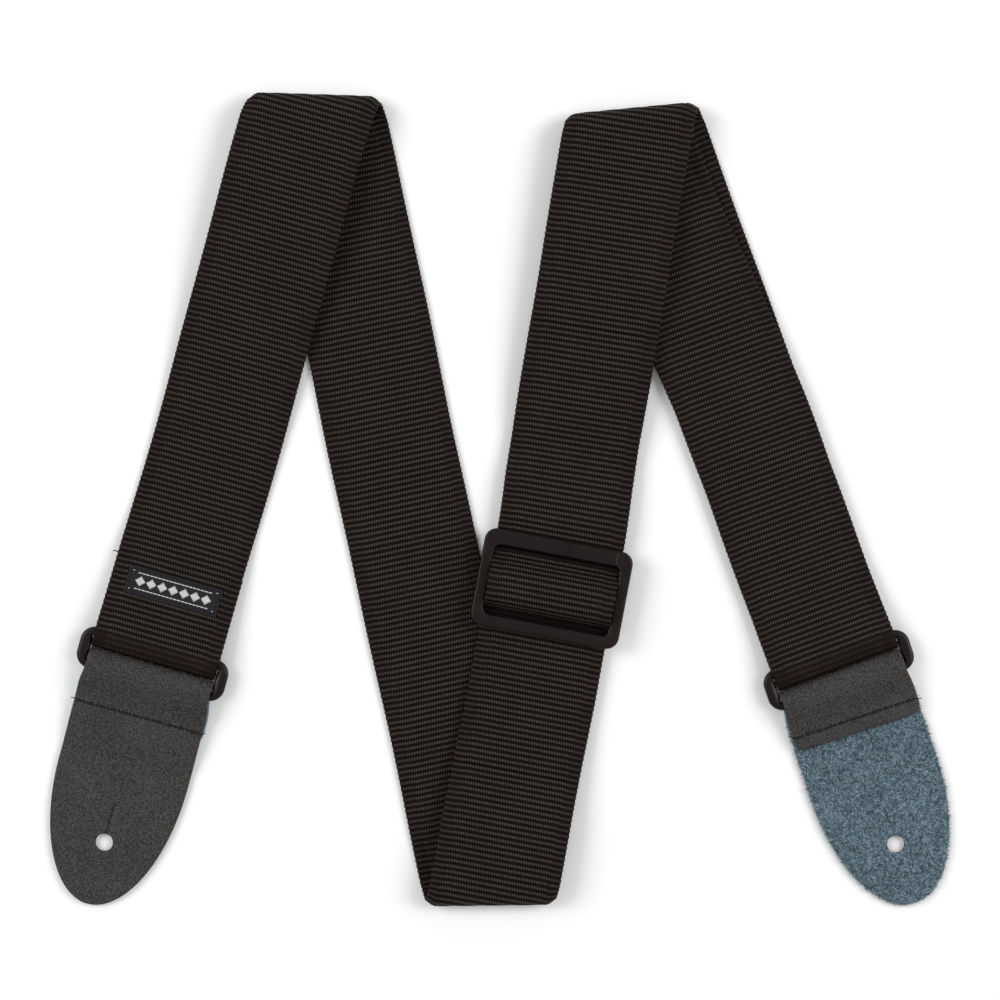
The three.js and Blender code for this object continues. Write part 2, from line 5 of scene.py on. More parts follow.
import bpy
import numpy as np
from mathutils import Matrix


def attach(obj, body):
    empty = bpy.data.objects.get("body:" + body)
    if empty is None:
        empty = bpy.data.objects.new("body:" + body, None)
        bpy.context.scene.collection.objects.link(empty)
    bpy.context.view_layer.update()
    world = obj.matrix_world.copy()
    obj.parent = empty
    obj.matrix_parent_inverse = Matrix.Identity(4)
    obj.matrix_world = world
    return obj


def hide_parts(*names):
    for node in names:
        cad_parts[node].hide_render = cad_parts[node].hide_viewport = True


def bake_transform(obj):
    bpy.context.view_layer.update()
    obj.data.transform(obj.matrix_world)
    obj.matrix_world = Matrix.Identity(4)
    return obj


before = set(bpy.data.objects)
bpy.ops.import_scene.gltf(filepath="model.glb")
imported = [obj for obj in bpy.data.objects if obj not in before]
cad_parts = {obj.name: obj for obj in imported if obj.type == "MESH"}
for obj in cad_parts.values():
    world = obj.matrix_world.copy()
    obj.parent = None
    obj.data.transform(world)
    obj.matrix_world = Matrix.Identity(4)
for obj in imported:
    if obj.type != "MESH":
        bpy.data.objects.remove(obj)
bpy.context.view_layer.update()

MM = 0.001
random = np.random.default_rng(7)

# ---- driving dimensions, millimetres. They follow the CAD, apart from those marked as fitted ----
WEBBING_WIDTH = 50.8
WEBBING_THICKNESS = 1.7
LAYER_STEP = 1.9
TAIL_STEP = 1.95
HALF_WIDTH = WEBBING_WIDTH / 2
FACE = WEBBING_THICKNESS / 2
FLOOR_LAYER = FACE

RING_LENGTH = 60.5
RING_HEIGHT = 16.8
RING_BAR_RADIUS = 1.65
RING_CORNER_RADIUS = 4.2
RING_END_WIDTH = 4.75  # fitted
RING_END_RAMP_START = 3.9
RING_END_RAMP = 2.2
RING_CENTRE_HEIGHT = 4.15
BAR_OFFSET = RING_HEIGHT / 2 - RING_BAR_RADIUS
RING_LOOP_REACH = 5.9
RING_LOOP_RISE = 2.75

LEATHER_THICKNESS = 2.0
LEATHER_LOOP_REACH = 5.75  # fitted
LEATHER_LOOP_RISE = 2.9
TAB_HALF_WIDTH = 26.3
TAB_HALF_WIDTH_AT_RING = 25.3
TAB_STRAIGHT_LENGTH = 45.0
FLAP_END = 26.0
FLAP_CORNER_RADIUS = 4.0
FLAP_WIDENING = 0.75  # fitted
FLAP_SHIFT_LENGTH = 12
WIDENING_LENGTH = 8
BUTTON_HOLE_DIAMETER = 7.0
SLIT_LENGTH = 15.5
SLIT_WIDTH = 0.2  # fitted

SLIDER_LENGTH = 59.5
SLIDER_TOP_HALF = 19.5
SLIDER_TOP_BAR = 6.3
SLIDER_BOTTOM_BAR = 5.0
SLIDER_WINDOW_LENGTH = 50.4  # fitted
SLIDER_THICKNESS = 3.2
SLIDER_UNDERSIDE = 5.65
CENTRE_BAR_RADIUS = 1.6
CENTRE_BAR_HEIGHT = SLIDER_UNDERSIDE + SLIDER_THICKNESS / 2
SEWN_LOOP_RADIUS = 2.7
UNDER_TOP_BAR = 4.6
UNDER_BOTTOM_BAR = 4.3
HUMP_HEIGHT = CENTRE_BAR_HEIGHT + SEWN_LOOP_RADIUS + TAIL_STEP
HUMP_ABOVE = 13.2
HUMP_BELOW = 12.5
SEWN_TAIL_END = 36.0
LOWER_SLOT = -13.3
UPPER_SLOT = 12.8
MOVING_END = 16.0
STRETCH_ABOVE = 105.0
STRETCH_BELOW = 75.0

LABEL_LENGTH = 38.0
LABEL_WIDTH = 11.3
LABEL_DISTANCE = 30.0
LEFT_TAIL_END = 41.0

# ---- the webbing's weave, millimetres ----
RIB_PITCH = 2.22
RIB_RELIEF = 0.24
RIB_ROUNDNESS = 0.62
WARP_PITCH = 1.0
ROWS_PER_RIB = 6
SELVEDGE = 5.0
SELVEDGE_LEAD = 0.12
SELVEDGE_DROP = 0.35
SELVEDGE_GROOVE = 0.13
SELVEDGE_GROOVE_WIDTH = 0.32
EDGE_RADIUS = 0.6
EDGE_LEAST = 0.4
EDGE_SCALLOP = 0.28
PRESSED_FLAT = 0.6
TUCK = 0.2
TUCK_HOLDS = 14
TUCK_FADE = 22
WANDER_HELD = 22
WANDER_EASE = 30
WANDER_WAVES = ((0.22, 31.0, 0.0), (0.14, 13.0, 1.0))
STEP = 0.25
SMALL_STEP = 0.05


# ---- plan: the runs of the ribbon and the folds between them ----
def vector_at(angle):
    return np.array([math.sin(math.radians(angle)), math.cos(math.radians(angle))])


def smooth_step(value):
    share = np.clip(value, 0.0, 1.0)
    return share * share * (3 - 2 * share)


def unit(vectors):
    return vectors / np.linalg.norm(vectors, axis=-1, keepdims=True)


def height_curve(points):
    """A smooth curve through (distance, height) points, without overshoot."""
    places = np.array([p[0] for p in points], float)
    heights = np.array([p[1] for p in points], float)
    rates = np.diff(heights) / np.diff(places)
    slopes = np.zeros(len(points))
    for index in range(1, len(points) - 1):
        before, after = rates[index - 1], rates[index]
        if before * after > 0:
            slopes[index] = 2 * before * after / (before + after)

    def curve(distance):
        inside = np.clip(distance, places[0], places[-1])
        index = np.clip(np.searchsorted(places, inside, side="right") - 1, 0, len(places) - 2)
        width = places[index + 1] - places[index]
        share = (inside - places[index]) / width
        square, cube = share**2, share**3
        return (
            heights[index] * (2 * cube - 3 * square + 1)
            + slopes[index] * width * (cube - 2 * square + share)
            + heights[index + 1] * (3 * square - 2 * cube)
            + slopes[index + 1] * width * (cube - square)
        )

    return curve


class Run:
    """A straight stretch in plan: forward is along it, left is across it."""

    def __init__(self, origin, forward, left=None):
        self.origin = np.array(origin, float)
        self.forward = np.array(forward, float)
        self.left = np.array([-forward[1], forward[0]] if left is None else left, float)

    def point(self, along, across):
        along, across = np.broadcast_arrays(np.asarray(along, float), np.asarray(across, float))
        return self.origin + along[..., None] * self.forward + across[..., None] * self.left


def half_ellipse_length(reach, rise):
    spread = ((reach - rise) / (reach + rise)) ** 2
    return math.pi / 2 * (reach + rise) * (1 + 3 * spread / (10 + math.sqrt(4 - 3 * spread)))


class Fold:
    """The run turns back over a straight crease, and its direction is mirrored."""

    def __init__(self, run, along, next_forward, reach, start_height, end_height):
        self.outward = unit(run.forward - next_forward)
        self.crease = np.array([self.outward[1], -self.outward[0]])
        self.run, self.along, self.reach = run, along, reach
        self.start_height, self.end_height = start_height, end_height
        self.base = run.point(along, 0.0)
        self.length = half_ellipse_length(reach, abs(end_height - start_height) / 2)
        self.slope = run.forward @ self.outward
        self.skew = -(run.left @ self.outward) / self.slope
        drift = (run.forward @ self.crease) * self.length / self.slope
        mirror = np.eye(2) - 2 * np.outer(self.outward, self.outward)
        self.next = Run(self.base + self.crease * drift, mirror @ run.forward, mirror @ run.left)


LEFT_RING_CENTRE = np.array([-137.48, -65.21])
RIGHT_RING_CENTRE = np.array([134.42, -67.71])
LEFT_TAB_ANGLE = 15.4
RIGHT_TAB_ANGLE = -18.4
LEFT_RUN_ANGLE = 15.9
BACK_RUN_ANGLE = 180 - 12.1
FRONT_RUN_ANGLE = 10.8
UPPER_RUN_ANGLE = 9.3
RIGHT_RUN_ANGLE = 20.2
LEFT_FOLD_DISTANCE = 225.0
BOTTOM_FOLD_DISTANCE = 310.6
RIGHT_FOLD_DISTANCE = 184.4
LEFT_FOLD_REACH = 8.5
BOTTOM_FOLD_REACH = 7.5
RIGHT_FOLD_REACH = 7.2
LEFT_FOLD_TOP = 10.05
BOTTOM_FOLD_TOP = 8.8
RIGHT_FOLD_TOP = 10.5
SLIDER_DISTANCE = 119.5
BEND_START = 15.0
BEND_LENGTH = 30.0
SHOULDER = 0.3
SHOULDER_WIDTH = 4.5
SKEW_HOLDS = 15
SKEW_FADE = 70

# The inner layer at the right fold, fitted. It lies shifted to the left there, less and less along the run.
INNER_REACH = 5.35
INNER_START = 8.6
INNER_END = 3.2
INNER_SHIFT = 6.0
INNER_SHIFT_HOLDS = 18.0
INNER_SHIFT_LENGTH = 115.0

left_run = Run(LEFT_RING_CENTRE, vector_at(LEFT_RUN_ANGLE))
top_left_fold = Fold(left_run, LEFT_FOLD_DISTANCE, vector_at(BACK_RUN_ANGLE), LEFT_FOLD_REACH,
                     LEFT_FOLD_TOP, FLOOR_LAYER)
back_run = top_left_fold.next
bottom_fold = Fold(back_run, BOTTOM_FOLD_DISTANCE, vector_at(FRONT_RUN_ANGLE), BOTTOM_FOLD_REACH,
                   FLOOR_LAYER, BOTTOM_FOLD_TOP)
front_run = bottom_fold.next
slider_centre = front_run.point(SLIDER_DISTANCE, 0.0)
upper_run = Run(slider_centre, vector_at(UPPER_RUN_ANGLE))
top_right_fold = Fold(upper_run, RIGHT_FOLD_DISTANCE, vector_at(180 - RIGHT_RUN_ANGLE), RIGHT_FOLD_REACH,
                      RIGHT_FOLD_TOP, FLOOR_LAYER)
right_run = top_right_fold.next
right_ring_distance = (RIGHT_RING_CENTRE - right_run.origin) @ right_run.forward
right_bar = right_ring_distance - BAR_OFFSET

# ---- heights of the layers, as (distance along the run, height) ----
LOOP_TOP = RING_CENTRE_HEIGHT + RING_LOOP_RISE
LOOP_FOOT = RING_CENTRE_HEIGHT - RING_LOOP_RISE
left_top_heights = height_curve([
    (BAR_OFFSET, LOOP_TOP), (24, 4.5), (LEFT_TAIL_END, 2.8), (64, FLOOR_LAYER),
    (100, FLOOR_LAYER + 0.6), (130, 3.5), (185, 8.6), (LEFT_FOLD_DISTANCE, LEFT_FOLD_TOP),
])
left_tail_heights = height_curve([(BAR_OFFSET, LOOP_FOOT), (24, FLOOR_LAYER)])
return_heights = height_curve([
    (0, CENTRE_BAR_HEIGHT - SEWN_LOOP_RADIUS), (13, FLOOR_LAYER), (44, FLOOR_LAYER),
    (82, 4.7), (135, 7.8), (RIGHT_FOLD_DISTANCE, INNER_START),
])
TAIL_ROOM = UNDER_TOP_BAR - FLOOR_LAYER - LAYER_STEP
outer_extra = height_curve([
    (HUMP_ABOVE, TAIL_ROOM), (20, TAIL_ROOM), (27, TAIL_ROOM + 0.65), (38, TAIL_ROOM + 0.5), (62, 0),
])
lower_front_heights = height_curve([
    (-bottom_fold.length, BOTTOM_FOLD_TOP), (10, 8.5), (50, 4.6), (80, 3.3), (98, 3.4),
    (SLIDER_DISTANCE - HUMP_BELOW, UNDER_BOTTOM_BAR),
])
right_top_heights = height_curve([
    (0, INNER_END), (right_ring_distance - 42, INNER_END), (right_ring_distance - 20, 4.6),
    (right_bar, LOOP_TOP),
])
right_floor_heights = height_curve([(right_ring_distance - 26, FLOOR_LAYER), (right_bar, LOOP_FOOT)])


def hump_side(share, foot):
    """Height of the hump over the centre bar, from its top at share 0 down to its foot at 1."""
    return foot + (HUMP_HEIGHT - foot) * (1 + np.cos(np.pi * share)) / 2


def outer_height(v):
    """Height of the running webbing at v, measured up the front run from the slider's centre bar."""
    v = np.asarray(v, float)
    below = hump_side((v / HUMP_BELOW) ** 3, UNDER_BOTTOM_BAR)
    above = hump_side(v / HUMP_ABOVE, UNDER_TOP_BAR)
    return np.select(
        [v < -HUMP_BELOW, v < 0, v < HUMP_ABOVE],
        [lower_front_heights(SLIDER_DISTANCE + v), below, above],
        return_heights(v) + LAYER_STEP + outer_extra(v),
    )


def front_point(v, across):
    """A point on the front run, which bends a little in plan above the slider."""
    lower = front_run.point(SLIDER_DISTANCE + v, across)
    upper = upper_run.point(v, across)
    share = smooth_step((np.asarray(v, float) - BEND_START) / BEND_LENGTH)[..., None]
    return lower + (upper - lower) * share


def skew_at(distance, fold_skew):
    """The skew fades from the fold's crease to square over a stretch of the run."""
    return fold_skew * (1 - smooth_step((distance - SKEW_HOLDS) / SKEW_FADE))


def front_skew(v):
    lower = skew_at(SLIDER_DISTANCE + v, bottom_fold.skew)
    return lower + skew_at(top_right_fold.along - v, top_right_fold.skew)


# ---- the whole ribbon by its length, from one sewn end to the other ----
class Path:
    """A stretch that follows a line of (along, height) points on one plan."""

    def __init__(self, plan, line, skew, shift=None):
        self.plan = plan
        self.along, self.height = line
        self.shift = np.zeros(len(self.along)) if shift is None else shift
        steps = np.hypot(np.diff(self.along), np.diff(self.height))
        self.lengths = np.concatenate([[0.0], np.cumsum(steps)])
        self.size = self.lengths[-1]
        self.skews = skew(self.along) * np.sign(np.gradient(self.along))
        self.first, self.final = np.sign(np.diff(self.along))[[0, -1]]

    def place(self, length, row, across):
        inside = np.clip(length, 0, self.size)
        along = np.interp(inside, self.lengths, self.along)
        along = along + self.first * np.minimum(length, 0) + self.final * np.maximum(length - self.size, 0)
        height = np.interp(row, self.lengths, self.height)
        shift = np.interp(row, self.lengths, self.shift)
        flat = self.plan(along, across) - top_right_fold.crease * shift[..., None]
        return np.concatenate([flat, height[..., None]], axis=-1)


class Turn:
    """A fold as a stretch of the ribbon. A reversed one is the inner layer, which comes back.

    layer gives its reach and the heights at its start and end, where they aren't the fold's own.
    """

    def __init__(self, fold, layer=None, reverse=False, shift=0.0):
        self.fold, self.reverse, self.shift = fold, reverse, shift
        layer = layer or (fold.reach, fold.start_height, fold.end_height)
        self.reach, self.start_height, self.end_height = layer
        self.size = fold.length / fold.slope
        self.lengths = np.array([0.0, self.size])
        self.skews = np.array([fold.skew, fold.skew]) * (-1 if reverse else 1)
        turns = np.linspace(0, np.pi, 400)
        rise = abs(self.end_height - self.start_height) / 2
        line = np.hypot(np.diff(self.reach * np.sin(turns)), np.diff(rise * np.cos(turns)))
        travelled = np.concatenate([[0.0], np.cumsum(line)])
        self.turns, self.shares = turns, travelled / travelled[-1]

    def place(self, length, row, across):
        if self.reverse:
            length, row = self.size - length, self.size - row
        share = np.clip(row / self.size, 0, 1)
        turn = np.interp(share, self.shares, self.turns)
        fold = self.fold
        flat = fold.run.point(fold.along + length, across) - fold.base
        on_crease = flat @ fold.crease - self.shift * smooth_step(2 * share - 1)
        into_shoulder = (np.abs(across) - HALF_WIDTH + SHOULDER_WIDTH) / SHOULDER_WIDTH
        shoulder = SHOULDER * smooth_step(into_shoulder) ** 1.5
        outward = self.reach * np.sin(turn) * (1 - shoulder)
        plan = fold.base + on_crease[..., None] * fold.crease + outward[..., None] * fold.outward
        height = self.start_height + (self.end_height - self.start_height) * (1 - np.cos(turn)) / 2
        return np.concatenate([plan, height[..., None]], axis=-1)


def places(start, end):
    return np.linspace(start, end, max(int(abs(end - start) / STEP), 2) + 1)


def bar_loop(bar, direction, reach, rise, centre):
    turn = np.linspace(0, np.pi, 60)[1:-1]
    return bar + direction * reach * np.sin(turn), centre - rise * np.cos(turn)


def join(*parts):
    return np.concatenate([p[0] for p in parts]), np.concatenate([p[1] for p in parts])


def left_path():
    tail = places(LEFT_TAIL_END, BAR_OFFSET)
    loop = bar_loop(BAR_OFFSET, -1, RING_LOOP_REACH, RING_LOOP_RISE, RING_CENTRE_HEIGHT)
    top = places(BAR_OFFSET, LEFT_FOLD_DISTANCE)
    line = join((tail, left_tail_heights(tail)), loop, (top, left_top_heights(top)))
    return Path(left_run.point, line, lambda v: skew_at(LEFT_FOLD_DISTANCE - v, top_left_fold.skew))


def back_path():
    def skew(along):
        return skew_at(along, top_left_fold.skew) + skew_at(BOTTOM_FOLD_DISTANCE - along, bottom_fold.skew)

    along = places(0, BOTTOM_FOLD_DISTANCE)
    return Path(back_run.point, (along, np.full(len(along), FLOOR_LAYER)), skew)


def front_path():
    along = places(-SLIDER_DISTANCE, RIGHT_FOLD_DISTANCE)
    return Path(front_point, (along, outer_height(along)), front_skew)


def right_path():
    floor = places(0, right_bar)
    loop = bar_loop(right_bar, 1, RING_LOOP_REACH, RING_LOOP_RISE, RING_CENTRE_HEIGHT)
    top = places(right_bar, 0)
    line = join((floor, right_floor_heights(floor)), loop, (top, right_top_heights(top)))
    shift = np.zeros(len(line[0]))
    shift[-len(top):] = INNER_SHIFT * (1 - smooth_step((top - INNER_SHIFT_HOLDS) / INNER_SHIFT_LENGTH))
    return Path(right_run.point, line, lambda v: skew_at(v, top_right_fold.skew), shift)


def return_path():
    """The inner layer's way back: up to the centre bar, round it, and down the hump's upper side."""
    leaves_bar, flat_start = 0.5, 14
    run = places(RIGHT_FOLD_DISTANCE, leaves_bar)
    loop = bar_loop(0, -1, SEWN_LOOP_RADIUS, SEWN_LOOP_RADIUS, CENTRE_BAR_HEIGHT)
    v = places(leaves_bar, HUMP_ABOVE)
    fall = HUMP_HEIGHT - UNDER_TOP_BAR
    slope = -fall * np.pi * np.sin(np.pi * v / HUMP_ABOVE) / (2 * HUMP_ABOVE)
    size = np.hypot(1, slope)
    tail = v + TAIL_STEP * slope / size, outer_height(v) - TAIL_STEP / size
    end = places(flat_start, SEWN_TAIL_END)
    flat = end, np.full(len(end), UNDER_TOP_BAR - TAIL_STEP)
    return Path(front_point, join((run, return_heights(run)), loop, tail, flat), front_skew)


stretches = [
    left_path(), Turn(top_left_fold), back_path(), Turn(bottom_fold), front_path(), Turn(top_right_fold),
    right_path(),
    Turn(top_right_fold, (INNER_REACH, INNER_START, INNER_END), reverse=True, shift=INNER_SHIFT),
    return_path(),
]
LEFT, LEFT_FOLD, BOTTOM_FOLD, FRONT, RIGHT_FOLD, RIGHT, INNER_FOLD, RETURN = 0, 1, 3, 4, 5, 6, 7, 8
starts = np.concatenate([[0.0], np.cumsum([s.size for s in stretches])])
ribbon_length = starts[-1]
rib_pitch = ribbon_length / round(ribbon_length / RIB_PITCH)
skew_places = np.concatenate([start + s.lengths for start, s in zip(starts, stretches)])
skew_values = np.concatenate([s.skews for s in stretches])


def ribbon_points(length, across):
    """Middle-surface points of the ribbon, in millimetres, at this length along it and this far across."""
    length, across = np.broadcast_arrays(np.asarray(length, float), np.asarray(across, float))
    row = length
    for _ in range(6):
        row = length - np.interp(row, skew_places, skew_values) * across
    points = np.zeros(length.shape + (3,))
    which = np.clip(np.searchsorted(starts, row, side="right") - 1, 0, len(stretches) - 1)
    for index, one in enumerate(stretches):
        here = which == index
        if here.any():
            points[here] = one.place(length[here] - starts[index], row[here] - starts[index], across[here])
    return points


def length_at(index, along, passing=0):
    """How far along the ribbon it passes this place on a stretch, the first or a later time."""
    one = stretches[index]
    crossing = np.nonzero(np.diff((one.along > along).astype(int)))[0][passing]
    share = (along - one.along[crossing]) / (one.along[crossing + 1] - one.along[crossing])
    return starts[index] + one.lengths[crossing] + share * (one.lengths[crossing + 1] - one.lengths[crossing])


# ---- mesh helpers ----
def mesh_object(name, points, faces, maps=None, rounded=None):
    """points are in millimetres, and maps gives each UV map's pairs by point.

    rounded says how many faces are shaded smooth. The ones after them are flat.
    """
    mesh = bpy.data.meshes.new(name)
    mesh.from_pydata((np.asarray(points) * MM).tolist(), [], [list(map(int, f)) for f in faces])
    corners = np.zeros(len(mesh.loops), int)
    mesh.loops.foreach_get("vertex_index", corners)
    for title, pairs in (maps or {}).items():
        layer = mesh.uv_layers.new(name=title)
        layer.data.foreach_set("uv", np.asarray(pairs, float)[corners].ravel())
    mesh.polygons.foreach_set("use_smooth", np.arange(len(mesh.polygons)) < (rounded or len(mesh.polygons)))
    mesh.update()
    piece = bpy.data.objects.new(name, mesh)
    bpy.context.scene.collection.objects.link(piece)
    return piece


def slab_faces(rows, columns):
    """Faces of a closed slab: a top grid and then a bottom grid, of rows by columns points each."""
    grid = np.arange(rows * columns).reshape(rows, columns)
    under = grid + rows * columns
    a, b, c, d = grid[:-1, :-1], grid[:-1, 1:], grid[1:, 1:], grid[1:, :-1]
    top = np.stack([a, b, c, d], axis=-1).reshape(-1, 4)
    bottom = (top + rows * columns)[:, ::-1]

    def wall(line, under_line):
        return np.stack([line[:-1], under_line[:-1], under_line[1:], line[1:]], axis=-1)

    walls = [
        wall(grid[0], under[0]), wall(grid[-1][::-1], under[-1][::-1]),
        wall(grid[::-1, 0], under[::-1, 0]), wall(grid[:, -1], under[:, -1]),
    ]
    return np.concatenate([top, bottom] + walls), len(top), len(bottom)


def tube_faces(rings, sides, first=0):
    """Faces of a closed tube of rings of points, which are numbered from first."""
    grid = first + np.arange(rings * sides).reshape(rings, sides)
    beside = np.roll(grid, -1, axis=1)
    walls = np.stack([grid[:-1], beside[:-1], beside[1:], grid[1:]], axis=-1).reshape(-1, 4)
    return walls.tolist() + [grid[0, ::-1].tolist(), grid[-1].tolist()]


def circles(centres, radii, side, other, sides):
    """A ring of points round each centre. side and other are the directions across it, one or one each."""
    turns = np.linspace(0, 2 * np.pi, sides, endpoint=False)[:, None]
    spokes = np.cos(turns) * side[..., None, :] + np.sin(turns) * other[..., None, :]
    return centres[:, None] + np.broadcast_to(radii, len(centres))[:, None, None] * spokes


def rounded_edge(to_edge, radius, least):
    """The share of the full thickness this far from a rounded edge. least is the share at the edge itself."""
    return np.sqrt(1 - (1 - np.clip(to_edge / radius, 0, 1)) ** 2) * (1 - least) + least


def declare(piece, body=None, node=None):
    """Hides the CAD node that the piece stands for, and sets the body that it rides on."""
    if node:
        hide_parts(node)
    if body:
        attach(piece, body)
    return piece


def dress(piece, look, body=None, node=None):
    piece.data.materials.append(look)
    return declare(piece, body, node)


# ---- materials ----
def linear(red, green, blue):
    """A linear colour from one given as sRGB values out of 255."""
    def one(value):
        value /= 255
        return value / 12.92 if value <= 0.04045 else ((value + 0.055) / 1.055) ** 2.4
    return (one(red), one(green), one(blue), 1.0)


class Nodes:
    """A short way to build a material's nodes."""

    def __init__(self, name):
        self.material = bpy.data.materials.new(name)
        self.material.use_nodes = True
        self.tree = self.material.node_tree
        self.shader = self.tree.nodes["Principled BSDF"]

    def add(self, kind, **settings):
        node = self.tree.nodes.new(kind)
        for key, value in settings.items():
            setattr(node, key, value)
        return node

    def link(self, source, target):
        self.tree.links.new(source, target)

    def math(self, operation, first, second=None, third=None):
        node = self.add("ShaderNodeMath", operation=operation)
        for socket, value in zip(node.inputs, (first, second, third)):
            if value is None:
                continue
            if isinstance(value, (int, float)):
                socket.default_value = value
            else:
                self.link(value, socket)
        return node.outputs[0]

    def map_axes(self, title):
        """The two values of a UV map."""
        split = self.add("ShaderNodeSeparateXYZ")
        self.link(self.add("ShaderNodeUVMap", uv_map=title).outputs[0], split.inputs[0])
        return split.outputs[0], split.outputs[1]

    def blend(self, value, target, share):
        """Moves a value towards the target by this share."""
        step = self.math("MULTIPLY", self.math("SUBTRACT", target, value), share)
        return self.math("ADD", value, step)

    def noise(self, scale, detail=3.0, roughness=0.55):
        node = self.add("ShaderNodeTexNoise")
        node.inputs["Scale"].default_value = scale
        node.inputs["Detail"].default_value = detail
        node.inputs["Roughness"].default_value = roughness
        self.link(self.place(), node.inputs["Vector"])
        return node.outputs["Fac"]

    def place(self):
        return self.add("ShaderNodeTexCoord").outputs["Object"]

    def ramp(self, value, stops):
        node = self.add("ShaderNodeValToRGB")
        elements = node.color_ramp.elements
        while len(elements) < len(stops):
            elements.new(0.5)
        for element, (position, colour) in zip(elements, stops):
            element.position = position
            element.color = colour
        self.link(value, node.inputs["Fac"])
        return node.outputs["Color"]

    def bump(self, height, strength, distance):
        node = self.add("ShaderNodeBump")
        node.inputs["Strength"].default_value = strength
        node.inputs["Distance"].default_value = distance * MM
        self.link(height, node.inputs["Height"])
        return node.outputs["Normal"]

    def finish(self, colour=None, roughness=0.5, normal=None, specular=0.5, sheen=0.0):
        sockets = self.shader.inputs
        if colour is not None:
            self.link(colour, sockets["Base Color"])
        if isinstance(roughness, (int, float)):
            sockets["Roughness"].default_value = roughness
        else:
            self.link(roughness, sockets["Roughness"])
        if normal is not None:
            self.link(normal, sockets["Normal"])
        sockets["Specular IOR Level"].default_value = specular
        sockets["Sheen Weight"].default_value = sheen
        return self.material


# Colours of the webbing's ribs: painted highlight on the crests, a mid tone, and painted shade in the
# valleys.
RIB_CREST_PAINTED_HIGHLIGHT = linear(82, 74, 68)
RIB_MID = linear(27, 18, 15)
RIB_GAP_PAINTED_SHADE = linear(7, 2, 1)


def webbing_material():
    """Ribs across the ribbon, each crossed by fine lengthwise yarns set half a step over from rib to rib. The
    colour holds painted shade in the valleys and painted highlight on the crests and yarn beads.
    """
    n = Nodes("webbing_weave")
    across, along = n.map_axes("weave")
    flattening_and_painted_shade, selvedge = n.map_axes("flattening_and_painted_shade")
    # The map's first value holds how flat the ribs are drawn (up to 1), and painted shade in the slider's
    # slots above 1.
    drawn_flat = n.math("MINIMUM", flattening_and_painted_shade, 1.0)
    painted_slot_darkening = n.math("MAXIMUM", n.math("SUBTRACT", flattening_and_painted_shade, 1.0), 0.0)
    crest = n.math("MULTIPLY_ADD", n.math("COSINE", n.math("MULTIPLY", along, 2 * math.pi)), -0.5, 0.5)
    crest = n.math("POWER", crest, 0.75)
    odd = n.math("MODULO", n.math("FLOOR", along), 2.0)
    yarn_turn = n.math("MULTIPLY_ADD", across, 2 * math.pi, n.math("MULTIPLY", odd, math.pi))
    yarn = n.math("MULTIPLY_ADD", n.math("COSINE", yarn_turn), 0.5, 0.5)
    yarn = n.blend(yarn, 0.5, n.math("MULTIPLY", selvedge, 0.8))
    bead = n.math("MULTIPLY", crest, n.math("MULTIPLY_ADD", yarn, 0.72, 0.26))
    drawn = n.math("MULTIPLY_ADD", yarn, 0.3, 0.2)
    # Where the ribs are drawn flat, the painted rib shade and highlight even out towards a mid tone.
    bead = n.blend(bead, drawn, n.math("MULTIPLY", drawn_flat, 0.75))
    fibre = n.noise(4300, 4.0, 0.65)
    cloud = n.noise(85, 2.0, 0.5)
    level = n.math("ADD", bead, n.math("MULTIPLY_ADD", fibre, 0.36, -0.18))
    level = n.math("ADD", level, n.math("MULTIPLY_ADD", cloud, 0.14, -0.07))
    # Painted shade: the webbing's colour is darkened in the slots between the hump and the slider's bars.
    level = n.math("MULTIPLY", level, n.math("MULTIPLY_ADD", painted_slot_darkening, -0.9, 1.0))
    # The ramp paints shade into the rib valleys and highlights on the crests and yarn beads.
    colour = n.ramp(level, [(0.12, RIB_GAP_PAINTED_SHADE), (0.45, RIB_MID), (0.95, RIB_CREST_PAINTED_HIGHLIGHT)])
    height = n.math("MULTIPLY_ADD", fibre, 0.25, bead)
    return n.finish(colour, 0.62, n.bump(height, 0.8, 0.16), specular=0.1)


def thread_material(name, dark, light):
    n = Nodes(name)
    fibre = n.noise(4200, 3.0)
    colour = n.ramp(fibre, [(0.3, linear(*dark)), (0.7, linear(*light))])
    return n.finish(colour, 0.7, n.bump(fibre, 0.5, 0.08), specular=0.3)


def label_material():
    """A close satin weave in near-black."""
    n = Nodes("label_weave")
    across, up = n.map_axes("weave")
    yarn_pitch = 0.34
    rate = 2 * math.pi / yarn_pitch
    first, second = (n.math("SINE", n.math("MULTIPLY", axis, rate)) for axis in (across, up))
    weft = n.math("MULTIPLY_ADD", n.math("MULTIPLY", first, second), 0.5, 0.5)
    fibre = n.noise(3600, 3.0)
    level = n.math("MULTIPLY_ADD", fibre, 0.5, n.math("MULTIPLY", weft, 0.5))
    colour = n.ramp(level, [(0.2, linear(12, 12, 15)), (0.8, linear(34, 34, 41))])
    return n.finish(colour, 0.7, n.bump(level, 0.6, 0.08), specular=0.25)


def plastic_material(name, dark, light):
    """Moulded acetal: a fine matt surface with soft sheen and faint flow marks."""
    n = Nodes(name)
    grain = n.noise(2600, 3.0, 0.6)
    cloud = n.noise(120, 2.0)
    colour = n.ramp(cloud, [(0.3, linear(*dark)), (0.7, linear(*light))])
    roughness = n.math("MULTIPLY_ADD", cloud, 0.16, 0.3)
    return n.finish(colour, roughness, n.bump(grain, 0.35, 0.05), specular=0.24)


